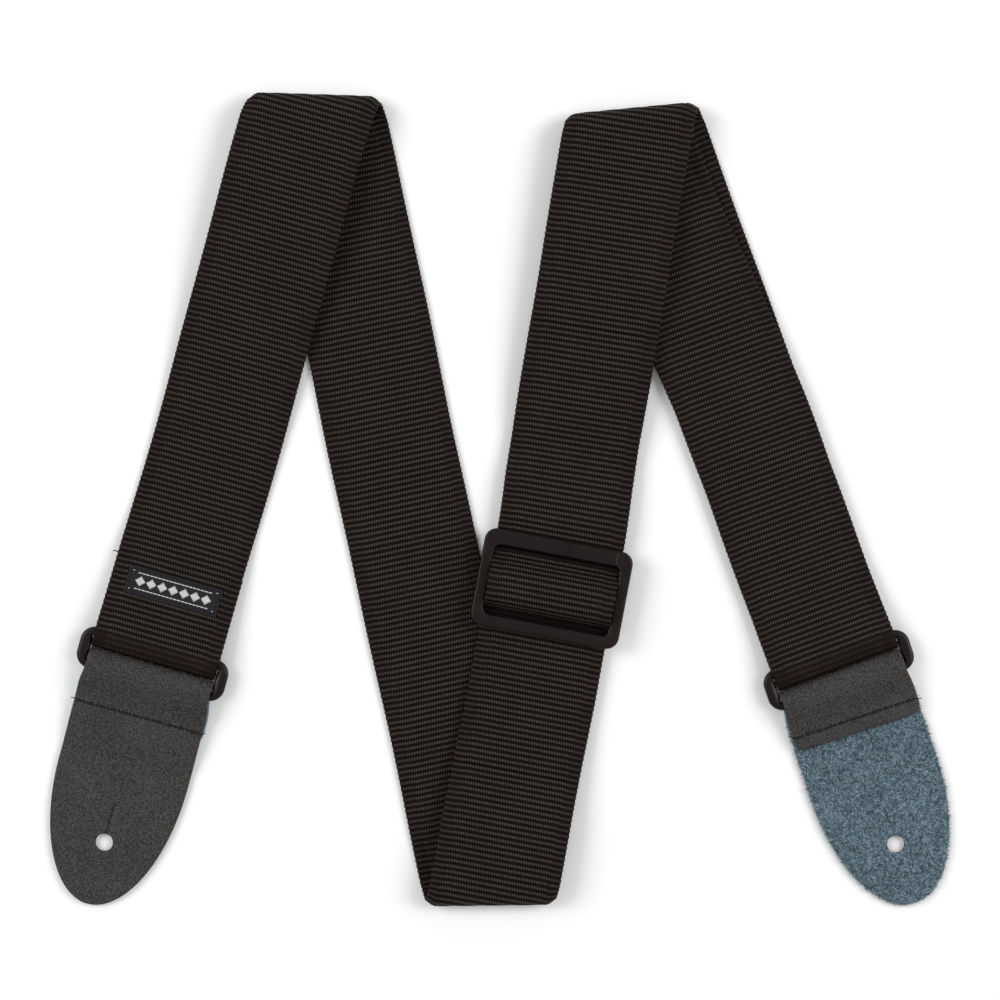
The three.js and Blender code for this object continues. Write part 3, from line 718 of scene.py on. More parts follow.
def grain_material():
    """Finished leather: small pebbled cells, with a faint mottle."""
    n = Nodes("leather_grain")
    cells = n.add("ShaderNodeTexVoronoi", feature="DISTANCE_TO_EDGE")
    cells.inputs["Scale"].default_value = 1500
    n.link(n.place(), cells.inputs["Vector"])
    pebble = n.math("MINIMUM", n.math("MULTIPLY", cells.outputs["Distance"], 5.0), 1.0)
    mottle = n.noise(1650, 4.0, 0.65)
    cloud = n.noise(60, 2.0)
    level = n.math("MULTIPLY_ADD", mottle, 0.92, n.math("MULTIPLY", cloud, 0.08))
    colour = n.ramp(level, [(0.41, linear(18, 16, 15)), (0.6, linear(72, 69, 66))])
    height = n.math("MULTIPLY_ADD", mottle, 0.7, n.math("MULTIPLY", pebble, 0.5))
    return n.finish(colour, 0.58, n.bump(height, 0.55, 0.12), specular=0.32)


def suede_material(name, dark, mid, light):
    """The napped back of the leather: matted fibres in soft patches."""
    n = Nodes(name)
    nap = n.noise(1900, 5.0, 0.78)
    clump = n.noise(800, 4.0, 0.62)
    patch = n.noise(95, 3.0, 0.5)
    level = n.math("MULTIPLY_ADD", nap, 0.82, n.math("MULTIPLY", clump, 0.18))
    level = n.math("MULTIPLY_ADD", patch, 0.08, n.math("SUBTRACT", level, 0.04))
    colour = n.ramp(level, [(0.38, linear(*dark)), (0.5, linear(*mid)), (0.62, linear(*light))])
    return n.finish(colour, 0.95, n.bump(level, 0.9, 0.5), specular=0.12, sheen=0.25)


webbing_look = webbing_material()
thread_look = thread_material("thread_dark", (8, 7, 7), (30, 27, 26))
white_thread_look = thread_material("thread_white", (190, 188, 184), (236, 235, 232))
label_look = label_material()
plastic_look = plastic_material("plastic_moulded", (16, 5, 5), (24, 11, 10))
mould_line_look = plastic_material("plastic_line", (62, 56, 52), (80, 74, 70))
grain_look = grain_material()
suede_look = suede_material("leather_suede", (26, 42, 50), (84, 110, 124), (156, 180, 193))
fibre_looks = [
    suede_material("suede_fibre_dark", (30, 44, 54), (44, 60, 71), (62, 80, 92)),
    suede_material("suede_fibre_mid", (84, 106, 120), (106, 130, 144), (128, 152, 166)),
    suede_material("suede_fibre_light", (142, 165, 179), (168, 190, 202), (192, 210, 220)),
]
dark_edge_look = suede_material("leather_cut_edge", (22, 22, 23), (36, 37, 39), (56, 60, 64))
blue_edge_look = suede_material("leather_raw_edge", (84, 102, 114), (116, 135, 147), (150, 168, 179))

# ---- webbing ----
MIDDLE_HALF = HALF_WIDTH - SELVEDGE
EDGE_COLUMNS = [HALF_WIDTH - inset for inset in (0.0, 0.22, 0.6, 1.3, 2.6, 3.9)]
EDGE_COLUMNS += [MIDDLE_HALF + 0.45, MIDDLE_HALF, MIDDLE_HALF - 0.45]
MIDDLE_COLUMNS = np.linspace(MIDDLE_HALF - 2.0, 2.0 - MIDDLE_HALF, 11)
COLUMNS = np.concatenate([EDGE_COLUMNS, MIDDLE_COLUMNS, np.negative(EDGE_COLUMNS[::-1])])


def in_selvedge(across):
    return smooth_step((np.abs(across) - MIDDLE_HALF + 1.0) / 2.0)


def loop_place(index):
    """The place on the upper side of a ring's loop where the webbing leaves the bar."""
    one = stretches[index]
    reach = np.argmin(one.along) if index == LEFT else np.argmax(one.along)
    return starts[index] + one.lengths[reach] + 2.5


def nearest(length, spots):
    """How near a length is to the nearest spot, from 0 to 1. Each spot is (middle, half length, fade)."""
    shares = [1 - smooth_step((np.abs(length - middle) - half) / fade) for middle, half, fade in spots]
    return np.maximum(*shares)


def pressed(length):
    """How far the ribs are flattened where the ribbon is drawn over a ring's bar, from 0 to 1."""
    half, hold = 7.5, 0.45
    return nearest(length, [(loop_place(index), half * hold, half * (1 - hold)) for index in (LEFT, RIGHT)])


def painted_slot_shade(length):
    """Where shade is painted onto the ribbon in the slots between the hump and the slider's bars, from 0 to
    1.
    """
    below, above = length_at(FRONT, LOWER_SLOT), length_at(FRONT, UPPER_SLOT)
    return nearest(length, [(below, 1.0, 3.5), (above, 0.3, 2.6)])


def rib_phase(length, across):
    return length / rib_pitch + SELVEDGE_LEAD * in_selvedge(across)


def rib_relief(length, across):
    """Height of the rib over the valley, 0 to 1. The selvedges' ribs are lower and run a little ahead."""
    crest = (0.5 - 0.5 * np.cos(2 * np.pi * rib_phase(length, across))) ** RIB_ROUNDNESS
    return crest * (1 - SELVEDGE_DROP * in_selvedge(across)) * (1 - PRESSED_FLAT * pressed(length))


def wander(length):
    """A slight sideways drift of the ribbon, as woven tape never lies quite straight. The slider holds it."""
    free = smooth_step((np.abs(length - length_at(FRONT, 0)) - WANDER_HELD) / WANDER_EASE)
    return free * sum(size * np.sin(length / spread + lead) for size, spread, lead in WANDER_WAVES)


def webbing_slab(start, end, narrowing):
    """Points, faces and maps of the ribbon between two lengths, as one closed slab."""
    count = round((end - start) / rib_pitch) * ROWS_PER_RIB
    lengths, columns = np.broadcast_arrays(np.linspace(start, end, count + 1)[:, None], COLUMNS[None, :])
    rib = rib_relief(lengths, columns)
    near_edge = smooth_step((np.abs(columns) - HALF_WIDTH + 1.4) / 1.4)
    across = columns - np.sign(columns) * EDGE_SCALLOP * (1 - rib / 0.65) * near_edge
    across = across * narrowing(lengths, columns) + wander(lengths)
    middle = ribbon_points(lengths, across)
    forward = ribbon_points(lengths + SMALL_STEP, across) - ribbon_points(lengths - SMALL_STEP, across)
    normal = unit(np.cross(np.gradient(middle, axis=1), forward))
    from_groove = (np.abs(columns) - MIDDLE_HALF) / SELVEDGE_GROOVE_WIDTH
    groove = SELVEDGE_GROOVE * np.exp(-(from_groove ** 2))
    half = FACE - RIB_RELIEF + RIB_RELIEF * rib - groove
    half = half * rounded_edge(HALF_WIDTH - np.abs(columns), EDGE_RADIUS, EDGE_LEAST)
    top = middle + normal * half[..., None]
    bottom = middle - normal * half[..., None]
    points = np.concatenate([top.reshape(-1, 3), bottom.reshape(-1, 3)])
    faces, top_count, bottom_count = slab_faces(*across.shape)
    weave = np.stack([columns / WARP_PITCH, rib_phase(lengths, columns)], axis=-1).reshape(-1, 2)
    # How flat the ribs are drawn, plus twice the painted shade in the slider's slots.
    flattened_or_painted_shade = pressed(lengths) + 2 * painted_slot_shade(lengths)
    flattening_and_painted_shade = np.stack([flattened_or_painted_shade, in_selvedge(columns)], axis=-1).reshape(-1, 2)
    maps = {"weave": np.concatenate([weave, weave]), "flattening_and_painted_shade": np.concatenate([flattening_and_painted_shade, flattening_and_painted_shade])}
    return points, faces, maps, top_count + bottom_count


def full_width(lengths, columns):
    return np.ones_like(lengths)


def tucked_at_fold(lengths, columns):
    """The inner layer's left side is gathered in at the fold, so that the outer layer covers it."""
    near = 1 - smooth_step((np.abs(lengths - inner_fold) - TUCK_HOLDS) / TUCK_FADE)
    return 1 - TUCK * near * (columns > 0)


def webbing_piece(name, start, end, body="webbing", narrowing=full_width):
    start, end = (round(x / rib_pitch) * rib_pitch for x in (start, end))
    piece = mesh_object(name, *webbing_slab(start, end, narrowing))
    dress(piece, webbing_look, body, name)
    return piece


def front_mark(v):
    """A point on the front run, in metres, at about the height of the layers there."""
    x, y = front_point(v, 0.0) * MM
    return x, y, 0.006


def middle_of(index):
    """The middle of a stretch, by length along the ribbon."""
    return starts[index] + stretches[index].size / 2


def left_top_length(along):
    """Length along the ribbon at this distance from the left ring, on the upper layer."""
    return length_at(LEFT, along, 1)


left_end = middle_of(LEFT_FOLD)
back_end = middle_of(BOTTOM_FOLD)
below_start = length_at(FRONT, -STRETCH_BELOW)
hump_start = length_at(FRONT, -MOVING_END)
hump_end = length_at(FRONT, MOVING_END)
above_end = length_at(FRONT, STRETCH_ABOVE)
top_end = middle_of(RIGHT_FOLD)
ring_turn = middle_of(RIGHT)
inner_fold = middle_of(INNER_FOLD)
return_start = length_at(RETURN, STRETCH_ABOVE)
sewn_start = length_at(RETURN, MOVING_END)

webbing_piece("webbing_left_run", 0, left_end)
webbing_piece("webbing_back_run", left_end, back_end)
webbing_piece("webbing_front_run", back_end, below_start)
below = webbing_piece("webbing_below_slider", below_start, hump_start, None)
webbing_piece("webbing_in_slider", hump_start, hump_end, "slider")
above = webbing_piece("webbing_above_slider", hump_end, above_end, None)
webbing_piece("webbing_front_top", above_end, top_end)
webbing_piece("webbing_right_floor", top_end, ring_turn)
webbing_piece("webbing_right_top", ring_turn, inner_fold, narrowing=tucked_at_fold)
webbing_piece("webbing_hidden_run", inner_fold, return_start, narrowing=tucked_at_fold)
back_layer = webbing_piece("webbing_return", return_start, sewn_start, None)
webbing_piece("webbing_sewn_end", sewn_start, ribbon_length, "slider")
for piece, still, moving in (
    (below, -STRETCH_BELOW, -MOVING_END), (above, STRETCH_ABOVE, MOVING_END),
    (back_layer, STRETCH_ABOVE, MOVING_END),
):
    front_mark(still)
    front_mark(moving)
    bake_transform(piece)


# ---- threads: rows of separate stitches ----
NEARLY_UP = (0.13, 0.21, 0.97)
WEBBING_STITCH = 2.6


class Threads:
    """Gathers short threads into one mesh."""

    def __init__(self):
        self.points = []
        self.faces = []

    def tube(self, rings):
        self.faces += tube_faces(*rings.shape[:2], first=len(self.points))
        self.points += list(rings.reshape(-1, 3))

    def stitch(self, start, end, normal, radius, sink=0.35):
        """A round thread that rises from the cloth, lies on it and goes back in. sink is in radii."""
        shares = np.linspace(0, 1, 7)
        lift = np.sin(np.pi * shares) ** 0.5
        rise = radius * (1.15 * lift - sink)
        centres = start + np.outer(shares, end - start) + np.outer(rise, normal)
        side = np.cross(unit(end - start), normal)
        self.tube(circles(centres, radius * (0.62 + 0.38 * lift), side, normal, 6))

    def row(self, line, normals, pitch, radius, spans=((0.0, 0.86),)):
        """Stitches that follow a line of points. spans says which shares of each step the thread covers."""
        steps = np.linalg.norm(np.diff(line, axis=0), axis=1)
        travelled = np.concatenate([[0.0], np.cumsum(steps)])
        count = max(int(travelled[-1] / pitch), 1)

        def at(distance, table):
            return np.array([np.interp(distance, travelled, table[:, axis]) for axis in range(3)])

        for index in range(count):
            for begin, finish in spans:
                first = travelled[-1] * (index + begin) / count
                last = travelled[-1] * (index + finish) / count
                normal = unit(at((first + last) / 2, normals))
                jitter = np.append(random.normal(0, 0.12 * radius, 2), 0.0)
                self.stitch(at(first, line) + jitter, at(last, line) - jitter, normal, radius)

    def cut_end(self, start, normal, direction, length, radius):
        """A cut thread end that sticks out a little way and curls to one side."""
        direction = unit(np.array(direction))
        shares = np.linspace(0, 1, 6)
        curl = 0.25 * np.sin(2.6 * shares)
        side = np.cross(direction, normal)
        line = start + length * (np.outer(shares, direction) + np.outer(curl, side))
        along = unit(np.gradient(line, axis=0))
        across = unit(np.cross(along, NEARLY_UP))
        self.tube(circles(line, radius, across, np.cross(along, across), 5))

    def finish(self, name, look, body, node=None):
        return dress(mesh_object(name, self.points, self.faces), look, body, node)


def ribbon_line(lengths, across, lift):
    """Points on the ribbon's upper face, and the normals there. lift is over the middle surface."""
    lengths, across = np.broadcast_arrays(np.asarray(lengths, float), np.asarray(across, float))
    grid = ribbon_points(lengths[:, None], across[:, None] + np.array([[-0.1, 0.0, 0.1]]))
    ahead = ribbon_points(lengths + SMALL_STEP, across)
    behind = ribbon_points(lengths - SMALL_STEP, across)
    normal = unit(np.cross(grid[:, 0] - grid[:, 2], ahead - behind))
    normal *= np.sign(normal[:, 2:3])
    return grid[:, 1] + normal * lift, normal


def end_seam():
    """The seam of the webbing's first end, just above the left ring, with one loose end."""
    reach = HALF_WIDTH - 0.3
    place = left_top_length(38.6)
    line, normals = ribbon_line(place, np.linspace(reach, -reach, 60), FACE - 0.02)
    threads = Threads()
    threads.row(line, normals, pitch=WEBBING_STITCH, radius=0.3)
    threads.cut_end(line[0], normals[0], (-1.0, 0.2, -0.1), length=2.2, radius=0.22)
    threads.finish("left_end_seam", thread_look, "webbing", "left_end_seam")


def slider_end_seam():
    """The seam of the webbing's last end, hidden behind the slider."""
    reach = HALF_WIDTH - 2
    line, normals = ribbon_line(length_at(RETURN, 31.0, 1), np.linspace(reach, -reach, 50), FACE)
    threads = Threads()
    threads.row(line, normals, pitch=WEBBING_STITCH, radius=0.24)
    threads.finish("slider_end_seam", thread_look, "slider", "slider_end_seam")


# ---- label ----
LABEL_THICKNESS = 0.5
LABEL_LIFT = FACE + 0.06 + LABEL_THICKNESS / 2
LABEL_HEM = 1.1
LABEL_TACK_INSET = 1.9
label_top = LABEL_LIFT + LABEL_THICKNESS / 2
label_middle = left_top_length(LABEL_DISTANCE)


def label_piece():
    rows = np.linspace(-LABEL_WIDTH / 2, LABEL_WIDTH / 2, 41)[:, None]
    columns = np.linspace(LABEL_LENGTH / 2, -LABEL_LENGTH / 2, 121)[None, :]
    rows, columns = np.broadcast_arrays(rows, columns)
    middle, normal = ribbon_line((label_middle + rows).ravel(), columns.ravel(), LABEL_LIFT)
    to_edge = np.minimum(LABEL_WIDTH / 2 - np.abs(rows), LABEL_LENGTH / 2 - np.abs(columns)).ravel()
    stitched = 0.14 * np.exp(-((to_edge - LABEL_HEM) / 0.35) ** 2)
    half = LABEL_THICKNESS / 2 * rounded_edge(to_edge, 0.5, 0.3)
    top = middle + normal * (half - stitched)[:, None]
    bottom = middle - normal * half[:, None]
    faces, _, _ = slab_faces(*rows.shape)
    weave = np.stack([columns, rows], axis=-1).reshape(-1, 2)
    piece = mesh_object("label", np.concatenate([top, bottom]), faces,
                        {"weave": np.concatenate([weave, weave])})
    dress(piece, label_look, "webbing", "label")


def label_line(first, last, count, lift):
    """A straight line on the label's face. Its ends are (across to the right, up) from the label's middle."""
    share = np.linspace(0, 1, count)[:, None]
    flat = np.array(first) * (1 - share) + np.array(last) * share
    return ribbon_line(label_middle + flat[:, 1], -flat[:, 0], lift)


def label_stitching():
    right = LABEL_LENGTH / 2 - LABEL_HEM
    top = LABEL_WIDTH / 2 - LABEL_HEM
    corners = [(-right, -top), (right, -top), (right, top), (-right, top), (-right, -top)]
    threads = Threads()
    for first, last in zip(corners, corners[1:]):
        line, normals = label_line(first, last, 40, label_top - 0.12)
        threads.row(line, normals, pitch=2.1, radius=0.2)
    threads.finish("label_stitching", thread_look, "webbing", "label_stitching")


def label_pattern():
    """A plain woven border design: a row of diamonds between two thin lines, and a tack at each corner."""
    threads = Threads()

    def satin(first, last, radius):
        line, normals = label_line(first, last, 6, label_top)
        threads.stitch(line[0], line[-1], normals[2], radius, sink=0.55)

    line_height, dash_pitch, dash_length = 3.2, 1.6, 1.5
    for height in (-line_height, line_height):
        for place in np.arange(-15.2, 14.9, dash_pitch):
            satin((place, height), (place + dash_length, height), 0.2)
    diamond_half, diamond_pitch, thread_pitch = 2.1, 4.5, 0.35
    for centre in np.arange(-3, 3.1) * diamond_pitch:
        for offset in np.arange(-diamond_half, diamond_half + 0.01, thread_pitch):
            reach = diamond_half - abs(offset)
            if reach > 0.2:
                satin((centre + offset, -reach), (centre + offset, reach), 0.17)
    for side in (-1, 1):
        for height in (-1, 1):
            across = side * (LABEL_LENGTH / 2 - LABEL_TACK_INSET)
            up = height * (LABEL_WIDTH / 2 - LABEL_TACK_INSET)
            satin((across - 0.35, up), (across + 0.35, up), 0.15)
    threads.finish("label_pattern", white_thread_look, "webbing")


# ---- rings and slider ----
def rounded_rectangle(length, height, radius, corner_steps, offset=0.0):
    points = []
    for sign_x, sign_y, start in ((1, 1, 0), (-1, 1, 90), (-1, -1, 180), (1, -1, 270)):
        for turn in np.radians(np.linspace(start, start + 90, corner_steps)):
            points.append((sign_x * (length / 2 - radius) + radius * math.cos(turn),
                           sign_y * (height / 2 - radius) + radius * math.sin(turn) + offset))
    return np.array(points)


def fill_straights(outline, longest):
    """Adds points on the long sides, so that bumps and bends have somewhere to sit."""
    filled = []
    for first, last in zip(outline, np.roll(outline, -1, axis=0)):
        count = max(int(np.linalg.norm(last - first) / longest), 1)
        filled += [first + (last - first) * step / count for step in range(count)]
    return np.array(filled)


def lofted_ring(name, sections, body):
    """A closed plastic ring from sections, an array of (place round the ring, place round the section, 3)."""
    count, sides = sections.shape[:2]
    grid = np.arange(count * sides).reshape(count, sides)
    beside, ahead = np.roll(grid, -1, axis=1), np.roll(grid, -1, axis=0)
    faces = np.stack([grid, ahead, np.roll(beside, -1, axis=0), beside], axis=-1).reshape(-1, 4)
    return dress(mesh_object(name, sections.reshape(-1, 3), faces), plastic_look, body, name)


def placed(local, centre, angle, height):
    """Turns points so that their Y axis lies at this angle from north, and moves them to their place."""
    up = vector_at(angle)
    right = np.array([up[1], -up[0]])
    plan = centre + local[..., :1] * right + local[..., 1:2] * up
    return np.concatenate([plan, local[..., 2:] + height], axis=-1)


def ring_piece(name, tab):
    """A round bar bent to a rectangle, whose two short ends are wider inwards."""
    outline = rounded_rectangle(RING_LENGTH - 2 * RING_BAR_RADIUS, RING_HEIGHT - 2 * RING_BAR_RADIUS,
                                RING_CORNER_RADIUS, 14)
    outline = fill_straights(outline, 2.0)
    tangent = unit(np.roll(outline, -1, axis=0) - np.roll(outline, 1, axis=0))
    outward = np.stack([tangent[:, 1], -tangent[:, 0]], axis=1)
    turns = np.linspace(0, 2 * np.pi, 28, endpoint=False)
    squareness = 0.8
    wide, high = (np.sign(wave) * np.abs(wave) ** squareness for wave in (np.cos(turns), np.sin(turns)))
    on_end = smooth_step((np.abs(outline[:, 0]) - (RING_LENGTH / 2 - RING_END_RAMP_START)) / RING_END_RAMP)
    inner_width = (RING_BAR_RADIUS + (RING_END_WIDTH - 2 * RING_BAR_RADIUS) * on_end)[:, None]
    wide = wide * np.where(wide > 0, RING_BAR_RADIUS, inner_width)
    flat = outline[:, None] + wide[..., None] * outward[:, None]
    rise = np.broadcast_to(high * RING_BAR_RADIUS, wide.shape)[..., None]
    sections = placed(np.concatenate([flat, rise], axis=-1), tab.centre, tab.angle, RING_CENTRE_HEIGHT)
    return lofted_ring(name, sections, name)


def on_slider(local):
    """Points given from the middle of the slider's centre bar."""
    return placed(local, slider_centre, FRONT_RUN_ANGLE, CENTRE_BAR_HEIGHT)


def slider_piece():
    """The frame: a rounded bar section swept round from its outer outline to the window's."""
    corner_steps, round_over = 12, 0.95
    outer = rounded_rectangle(SLIDER_LENGTH, 2 * SLIDER_TOP_HALF, 5.0, corner_steps)
    window_height = 2 * SLIDER_TOP_HALF - SLIDER_TOP_BAR - SLIDER_BOTTOM_BAR
    window_offset = (SLIDER_BOTTOM_BAR - SLIDER_TOP_BAR) / 2
    inner = rounded_rectangle(SLIDER_WINDOW_LENGTH, window_height, 2.6, corner_steps, window_offset)
    arc = np.radians(np.linspace(0, 90, 7))
    insets = round_over * (1 - np.cos(arc))
    rises = SLIDER_THICKNESS / 2 - round_over * (1 - np.sin(arc))
    quarter = list(zip(insets, rises))
    profile = [(0, inset, rise) for inset, rise in quarter]
    profile += [(1, inset, rise) for inset, rise in reversed(quarter)]
    profile += [(1, inset, -rise) for inset, rise in quarter]
    profile += [(0, inset, -rise) for inset, rise in reversed(quarter)]
    sections = []
    for first, last in zip(outer, inner):
        inwards = unit(last - first)
        row = [last - inwards * inset if on_window else first + inwards * inset
               for on_window, inset, _ in profile]
        sections.append([(*place, rise) for place, (_, _, rise) in zip(row, profile)])
    return lofted_ring("slider_frame", on_slider(np.array(sections)), "slider")


def slider_tube(name, rings, look):
    """A closed tube through rings of points, on the slider."""
    piece = mesh_object(name, on_slider(rings).reshape(-1, 3), tube_faces(*rings.shape[:2]))
    return dress(piece, look, "slider")


def mould_line():
    """The faint line across the slider's top bar where the plastic met in the mould."""
    place, half_width, rise, sunk, margin = 23.2, 0.16, 0.09, 0.1, 0.9
    face = SLIDER_THICKNESS / 2
    section = ((place - half_width, face - sunk), (place, face + rise), (place + half_width, face - sunk))
    ups = np.linspace(SLIDER_TOP_HALF - SLIDER_TOP_BAR + margin, SLIDER_TOP_HALF - margin, 12)
    return slider_tube("slider_mould_line", np.array([[(x, up, z) for x, z in section] for up in ups]),
                       mould_line_look)


def centre_bar_piece():
    reach = SLIDER_WINDOW_LENGTH / 2 + 1
    centres = np.outer(np.linspace(-reach, reach, 12), (1.0, 0.0, 0.0))
    rings = circles(centres, CENTRE_BAR_RADIUS, np.array([0.0, 1.0, 0.0]), np.array([0.0, 0.0, 1.0]), 24)
    return slider_tube("slider_centre_bar", rings, plastic_look)


# ---- leather tabs ----
UPPER_LEATHER = RING_CENTRE_HEIGHT + LEATHER_LOOP_RISE
LOWER_LEATHER = RING_CENTRE_HEIGHT - LEATHER_LOOP_RISE
FLOOR_LEATHER = LEATHER_THICKNESS / 2
body_over_flap = height_curve([(BAR_OFFSET, UPPER_LEATHER), (20, 3.6), (FLAP_END, 3.2), (42, FLOOR_LEATHER)])
flap_on_body = height_curve([(BAR_OFFSET, UPPER_LEATHER), (18, 3.7), (FLAP_END, 3.2)])
leather_on_floor = height_curve([(BAR_OFFSET, LOWER_LEATHER), (18, FLOOR_LEATHER)])


class Tab:
    """What differs between the two tabs. Distances are from the ring's centre, in millimetres."""

    def __init__(self, name, centre, angle, run_angle, tip, hole, body_on_top, flap_shift, seam, slot):
        self.name, self.centre, self.angle, self.slot = name, centre, angle, slot
        self.up = vector_at(angle)
        self.left = np.array([-self.up[1], self.up[0]])
        self.tip, self.hole, self.seam = tip, hole, seam
        self.body_on_top, self.flap_shift = body_on_top, flap_shift
        turned = math.radians(abs(run_angle) - abs(angle))
        self.loop_skew = math.tan(turned) * (1 if angle < 0 else -1)

    def point(self, distance, across, height):
        along = np.asarray(distance)[..., None] * self.up
        plan = self.centre - along + np.asarray(across)[..., None] * self.left
        return np.concatenate([plan, np.broadcast_to(height, plan.shape[:-1])[..., None]], axis=-1)


left_tab = Tab(
    "left_tab", LEFT_RING_CENTRE, LEFT_TAB_ANGLE, LEFT_RUN_ANGLE, tip=99, hole=73.7,
    body_on_top=True, flap_shift=0.7, seam=21.6, slot="leather_grain",
)
right_tab = Tab(
    "right_tab", RIGHT_RING_CENTRE, RIGHT_TAB_ANGLE, RIGHT_RUN_ANGLE, tip=97.5, hole=73.0,
    body_on_top=False, flap_shift=0.3, seam=20.2, slot="leather_suede",
)


def width_from_ring(distance, widening):
    return TAB_HALF_WIDTH_AT_RING + widening * smooth_step((distance - BAR_OFFSET) / WIDENING_LENGTH)


def body_half_width(distance, tip):
    straight = width_from_ring(distance, TAB_HALF_WIDTH - TAB_HALF_WIDTH_AT_RING)
    share = np.clip((distance - TAB_STRAIGHT_LENGTH) / (tip - TAB_STRAIGHT_LENGTH), 0, 1)
    return np.where(distance < TAB_STRAIGHT_LENGTH, straight, TAB_HALF_WIDTH * np.sqrt(1 - share**2))


def flap_half_width(distance):
    into = np.clip(distance - (FLAP_END - FLAP_CORNER_RADIUS), 0, FLAP_CORNER_RADIUS)
    straight = width_from_ring(distance, FLAP_WIDENING)
    return straight - (FLAP_CORNER_RADIUS - np.sqrt(FLAP_CORNER_RADIUS**2 - into**2))


def tab_path(tip, body_on_top):
    """Distances, heights and half widths from the flap's end round the bar to the tip."""
    sign = 1 if body_on_top else -1
    flap_heights = leather_on_floor if body_on_top else flap_on_body
    body_heights = body_over_flap if body_on_top else leather_on_floor
    corner = FLAP_END - FLAP_CORNER_RADIUS * (1 - np.cos(np.linspace(0, np.pi / 2, 8)))
    flap = np.concatenate([corner, np.arange(21, BAR_OFFSET + 0.6, -1.0)])
    turn = np.linspace(0, np.pi, 22)
    loop = BAR_OFFSET - LEATHER_LOOP_REACH * np.sin(turn)
    loop_heights = RING_CENTRE_HEIGHT - sign * LEATHER_LOOP_RISE * np.cos(turn)
    closer_to_tip = np.sin(np.linspace(0, np.pi / 2, 64)[1:-1])
    curved = TAB_STRAIGHT_LENGTH + (tip - TAB_STRAIGHT_LENGTH) * closer_to_tip
    body = np.concatenate([np.arange(BAR_OFFSET + 1, TAB_STRAIGHT_LENGTH, 1.0), curved, [tip - 0.004]])
    distance = np.concatenate([flap, loop, body])
    height = np.concatenate([flap_heights(flap), loop_heights, body_heights(body)])
    loop_width = np.full(len(loop), TAB_HALF_WIDTH_AT_RING)
    width = np.concatenate([flap_half_width(flap), loop_width, body_half_width(body, tip)])
    from_end = np.concatenate([np.abs(flap - FLAP_END), np.full(len(loop), 9.0), tip - body])
    return distance, height, width, from_end


def cut_out(piece, tab):
    """Cuts the button hole and its slit through the tab."""
    through = 20 * MM
    hole = tab.point(tab.hole, 0.0, 0.0) * MM
    slit = tab.point(tab.hole - SLIT_LENGTH / 2, 0.0, 0.0) * MM
    bpy.ops.mesh.primitive_cylinder_add(vertices=64, radius=BUTTON_HOLE_DIAMETER / 2 * MM, depth=through,
                                        location=hole)
    punch = bpy.context.object
    bpy.ops.mesh.primitive_cube_add(size=1, location=slit, rotation=(0, 0, -math.radians(tab.angle)))
    knife = bpy.context.object
    knife.scale = (SLIT_WIDTH * MM, SLIT_LENGTH * MM, through)
    for tool in (punch, knife):
        cut = piece.modifiers.new("cut", "BOOLEAN")
        cut.operation, cut.object, cut.solver = "DIFFERENCE", tool, "EXACT"
    bpy.context.view_layer.update()
    done = bpy.data.meshes.new_from_object(piece.evaluated_get(bpy.context.evaluated_depsgraph_get()))
    piece.modifiers.clear()
    piece.data = done
    for tool in (punch, knife):
        bpy.data.objects.remove(tool)


OUTSIDE, INSIDE, DARK_EDGE, BLUE_EDGE = 0, 1, 2, 3
TAB_COLUMNS = 41


def tab_surface(tab):
    """Middle points, normals and half thicknesses of the tab's leather, and which rows are the flap's."""
    distance, height, width, from_end = tab_path(tab.tip, tab.body_on_top)
    share = np.sin(np.linspace(np.pi / 2, -np.pi / 2, TAB_COLUMNS))
    share = np.sign(share) * np.abs(share) ** 0.9
    across = width[:, None] * share[None, :]
    in_loop = np.clip((BAR_OFFSET - distance) / LEATHER_LOOP_REACH, 0, 1)
    distance_across = distance[:, None] + tab.loop_skew * across * in_loop[:, None]
    to_edge = np.minimum(width[:, None] - np.abs(across), from_end[:, None])
    before_turn = np.arange(len(distance)) < np.argmin(distance)
    shifted = before_turn * smooth_step((distance - BAR_OFFSET) / FLAP_SHIFT_LENGTH)
    across = across - tab.flap_shift * shifted[:, None]
    middle = tab.point(distance_across, across, height[:, None])
    slope_along, slope_height = np.gradient(distance), np.gradient(height)
    normal = unit(np.stack([tab.up[0] * slope_height, tab.up[1] * slope_height, slope_along], axis=-1))
    normal = np.broadcast_to((normal * (1 if tab.body_on_top else -1))[:, None], middle.shape)
    half = (LEATHER_THICKNESS / 2 * rounded_edge(to_edge, 0.7, 0.45))[..., None]
    return middle, normal, half, before_turn & (distance < FLAP_END + 1)


def tab_piece(tab):
    """The leather, folded round the ring's bar: grain outside, suede inside, and raw edges."""
    middle, normal, half, on_flap = tab_surface(tab)
    outside, inside = ((middle + side * normal * half).reshape(-1, 3) for side in (1, -1))
    faces, top_count, bottom_count = slab_faces(*middle.shape[:2])
    if not tab.body_on_top:
        faces = faces[:, ::-1]
    piece = mesh_object(tab.name, np.concatenate([outside, inside]), faces)
    under = on_flap if tab.body_on_top else ~on_flap
    walls = np.concatenate([np.full(2 * (TAB_COLUMNS - 1), False), under[::-1][1:], under[1:]])
    kinds = np.full(len(faces), DARK_EDGE)
    kinds[-len(walls):] = np.where(walls, BLUE_EDGE, DARK_EDGE)
    kinds[:top_count] = OUTSIDE
    kinds[top_count:top_count + bottom_count] = INSIDE
    for look in (grain_look, suede_look, dark_edge_look, blue_edge_look):
        piece.data.materials.append(look)
    piece.data.polygons.foreach_set("material_index", kinds.astype(np.int32))
    cut_out(piece, tab)
    declare(piece, tab.name, tab.name)
    return piece


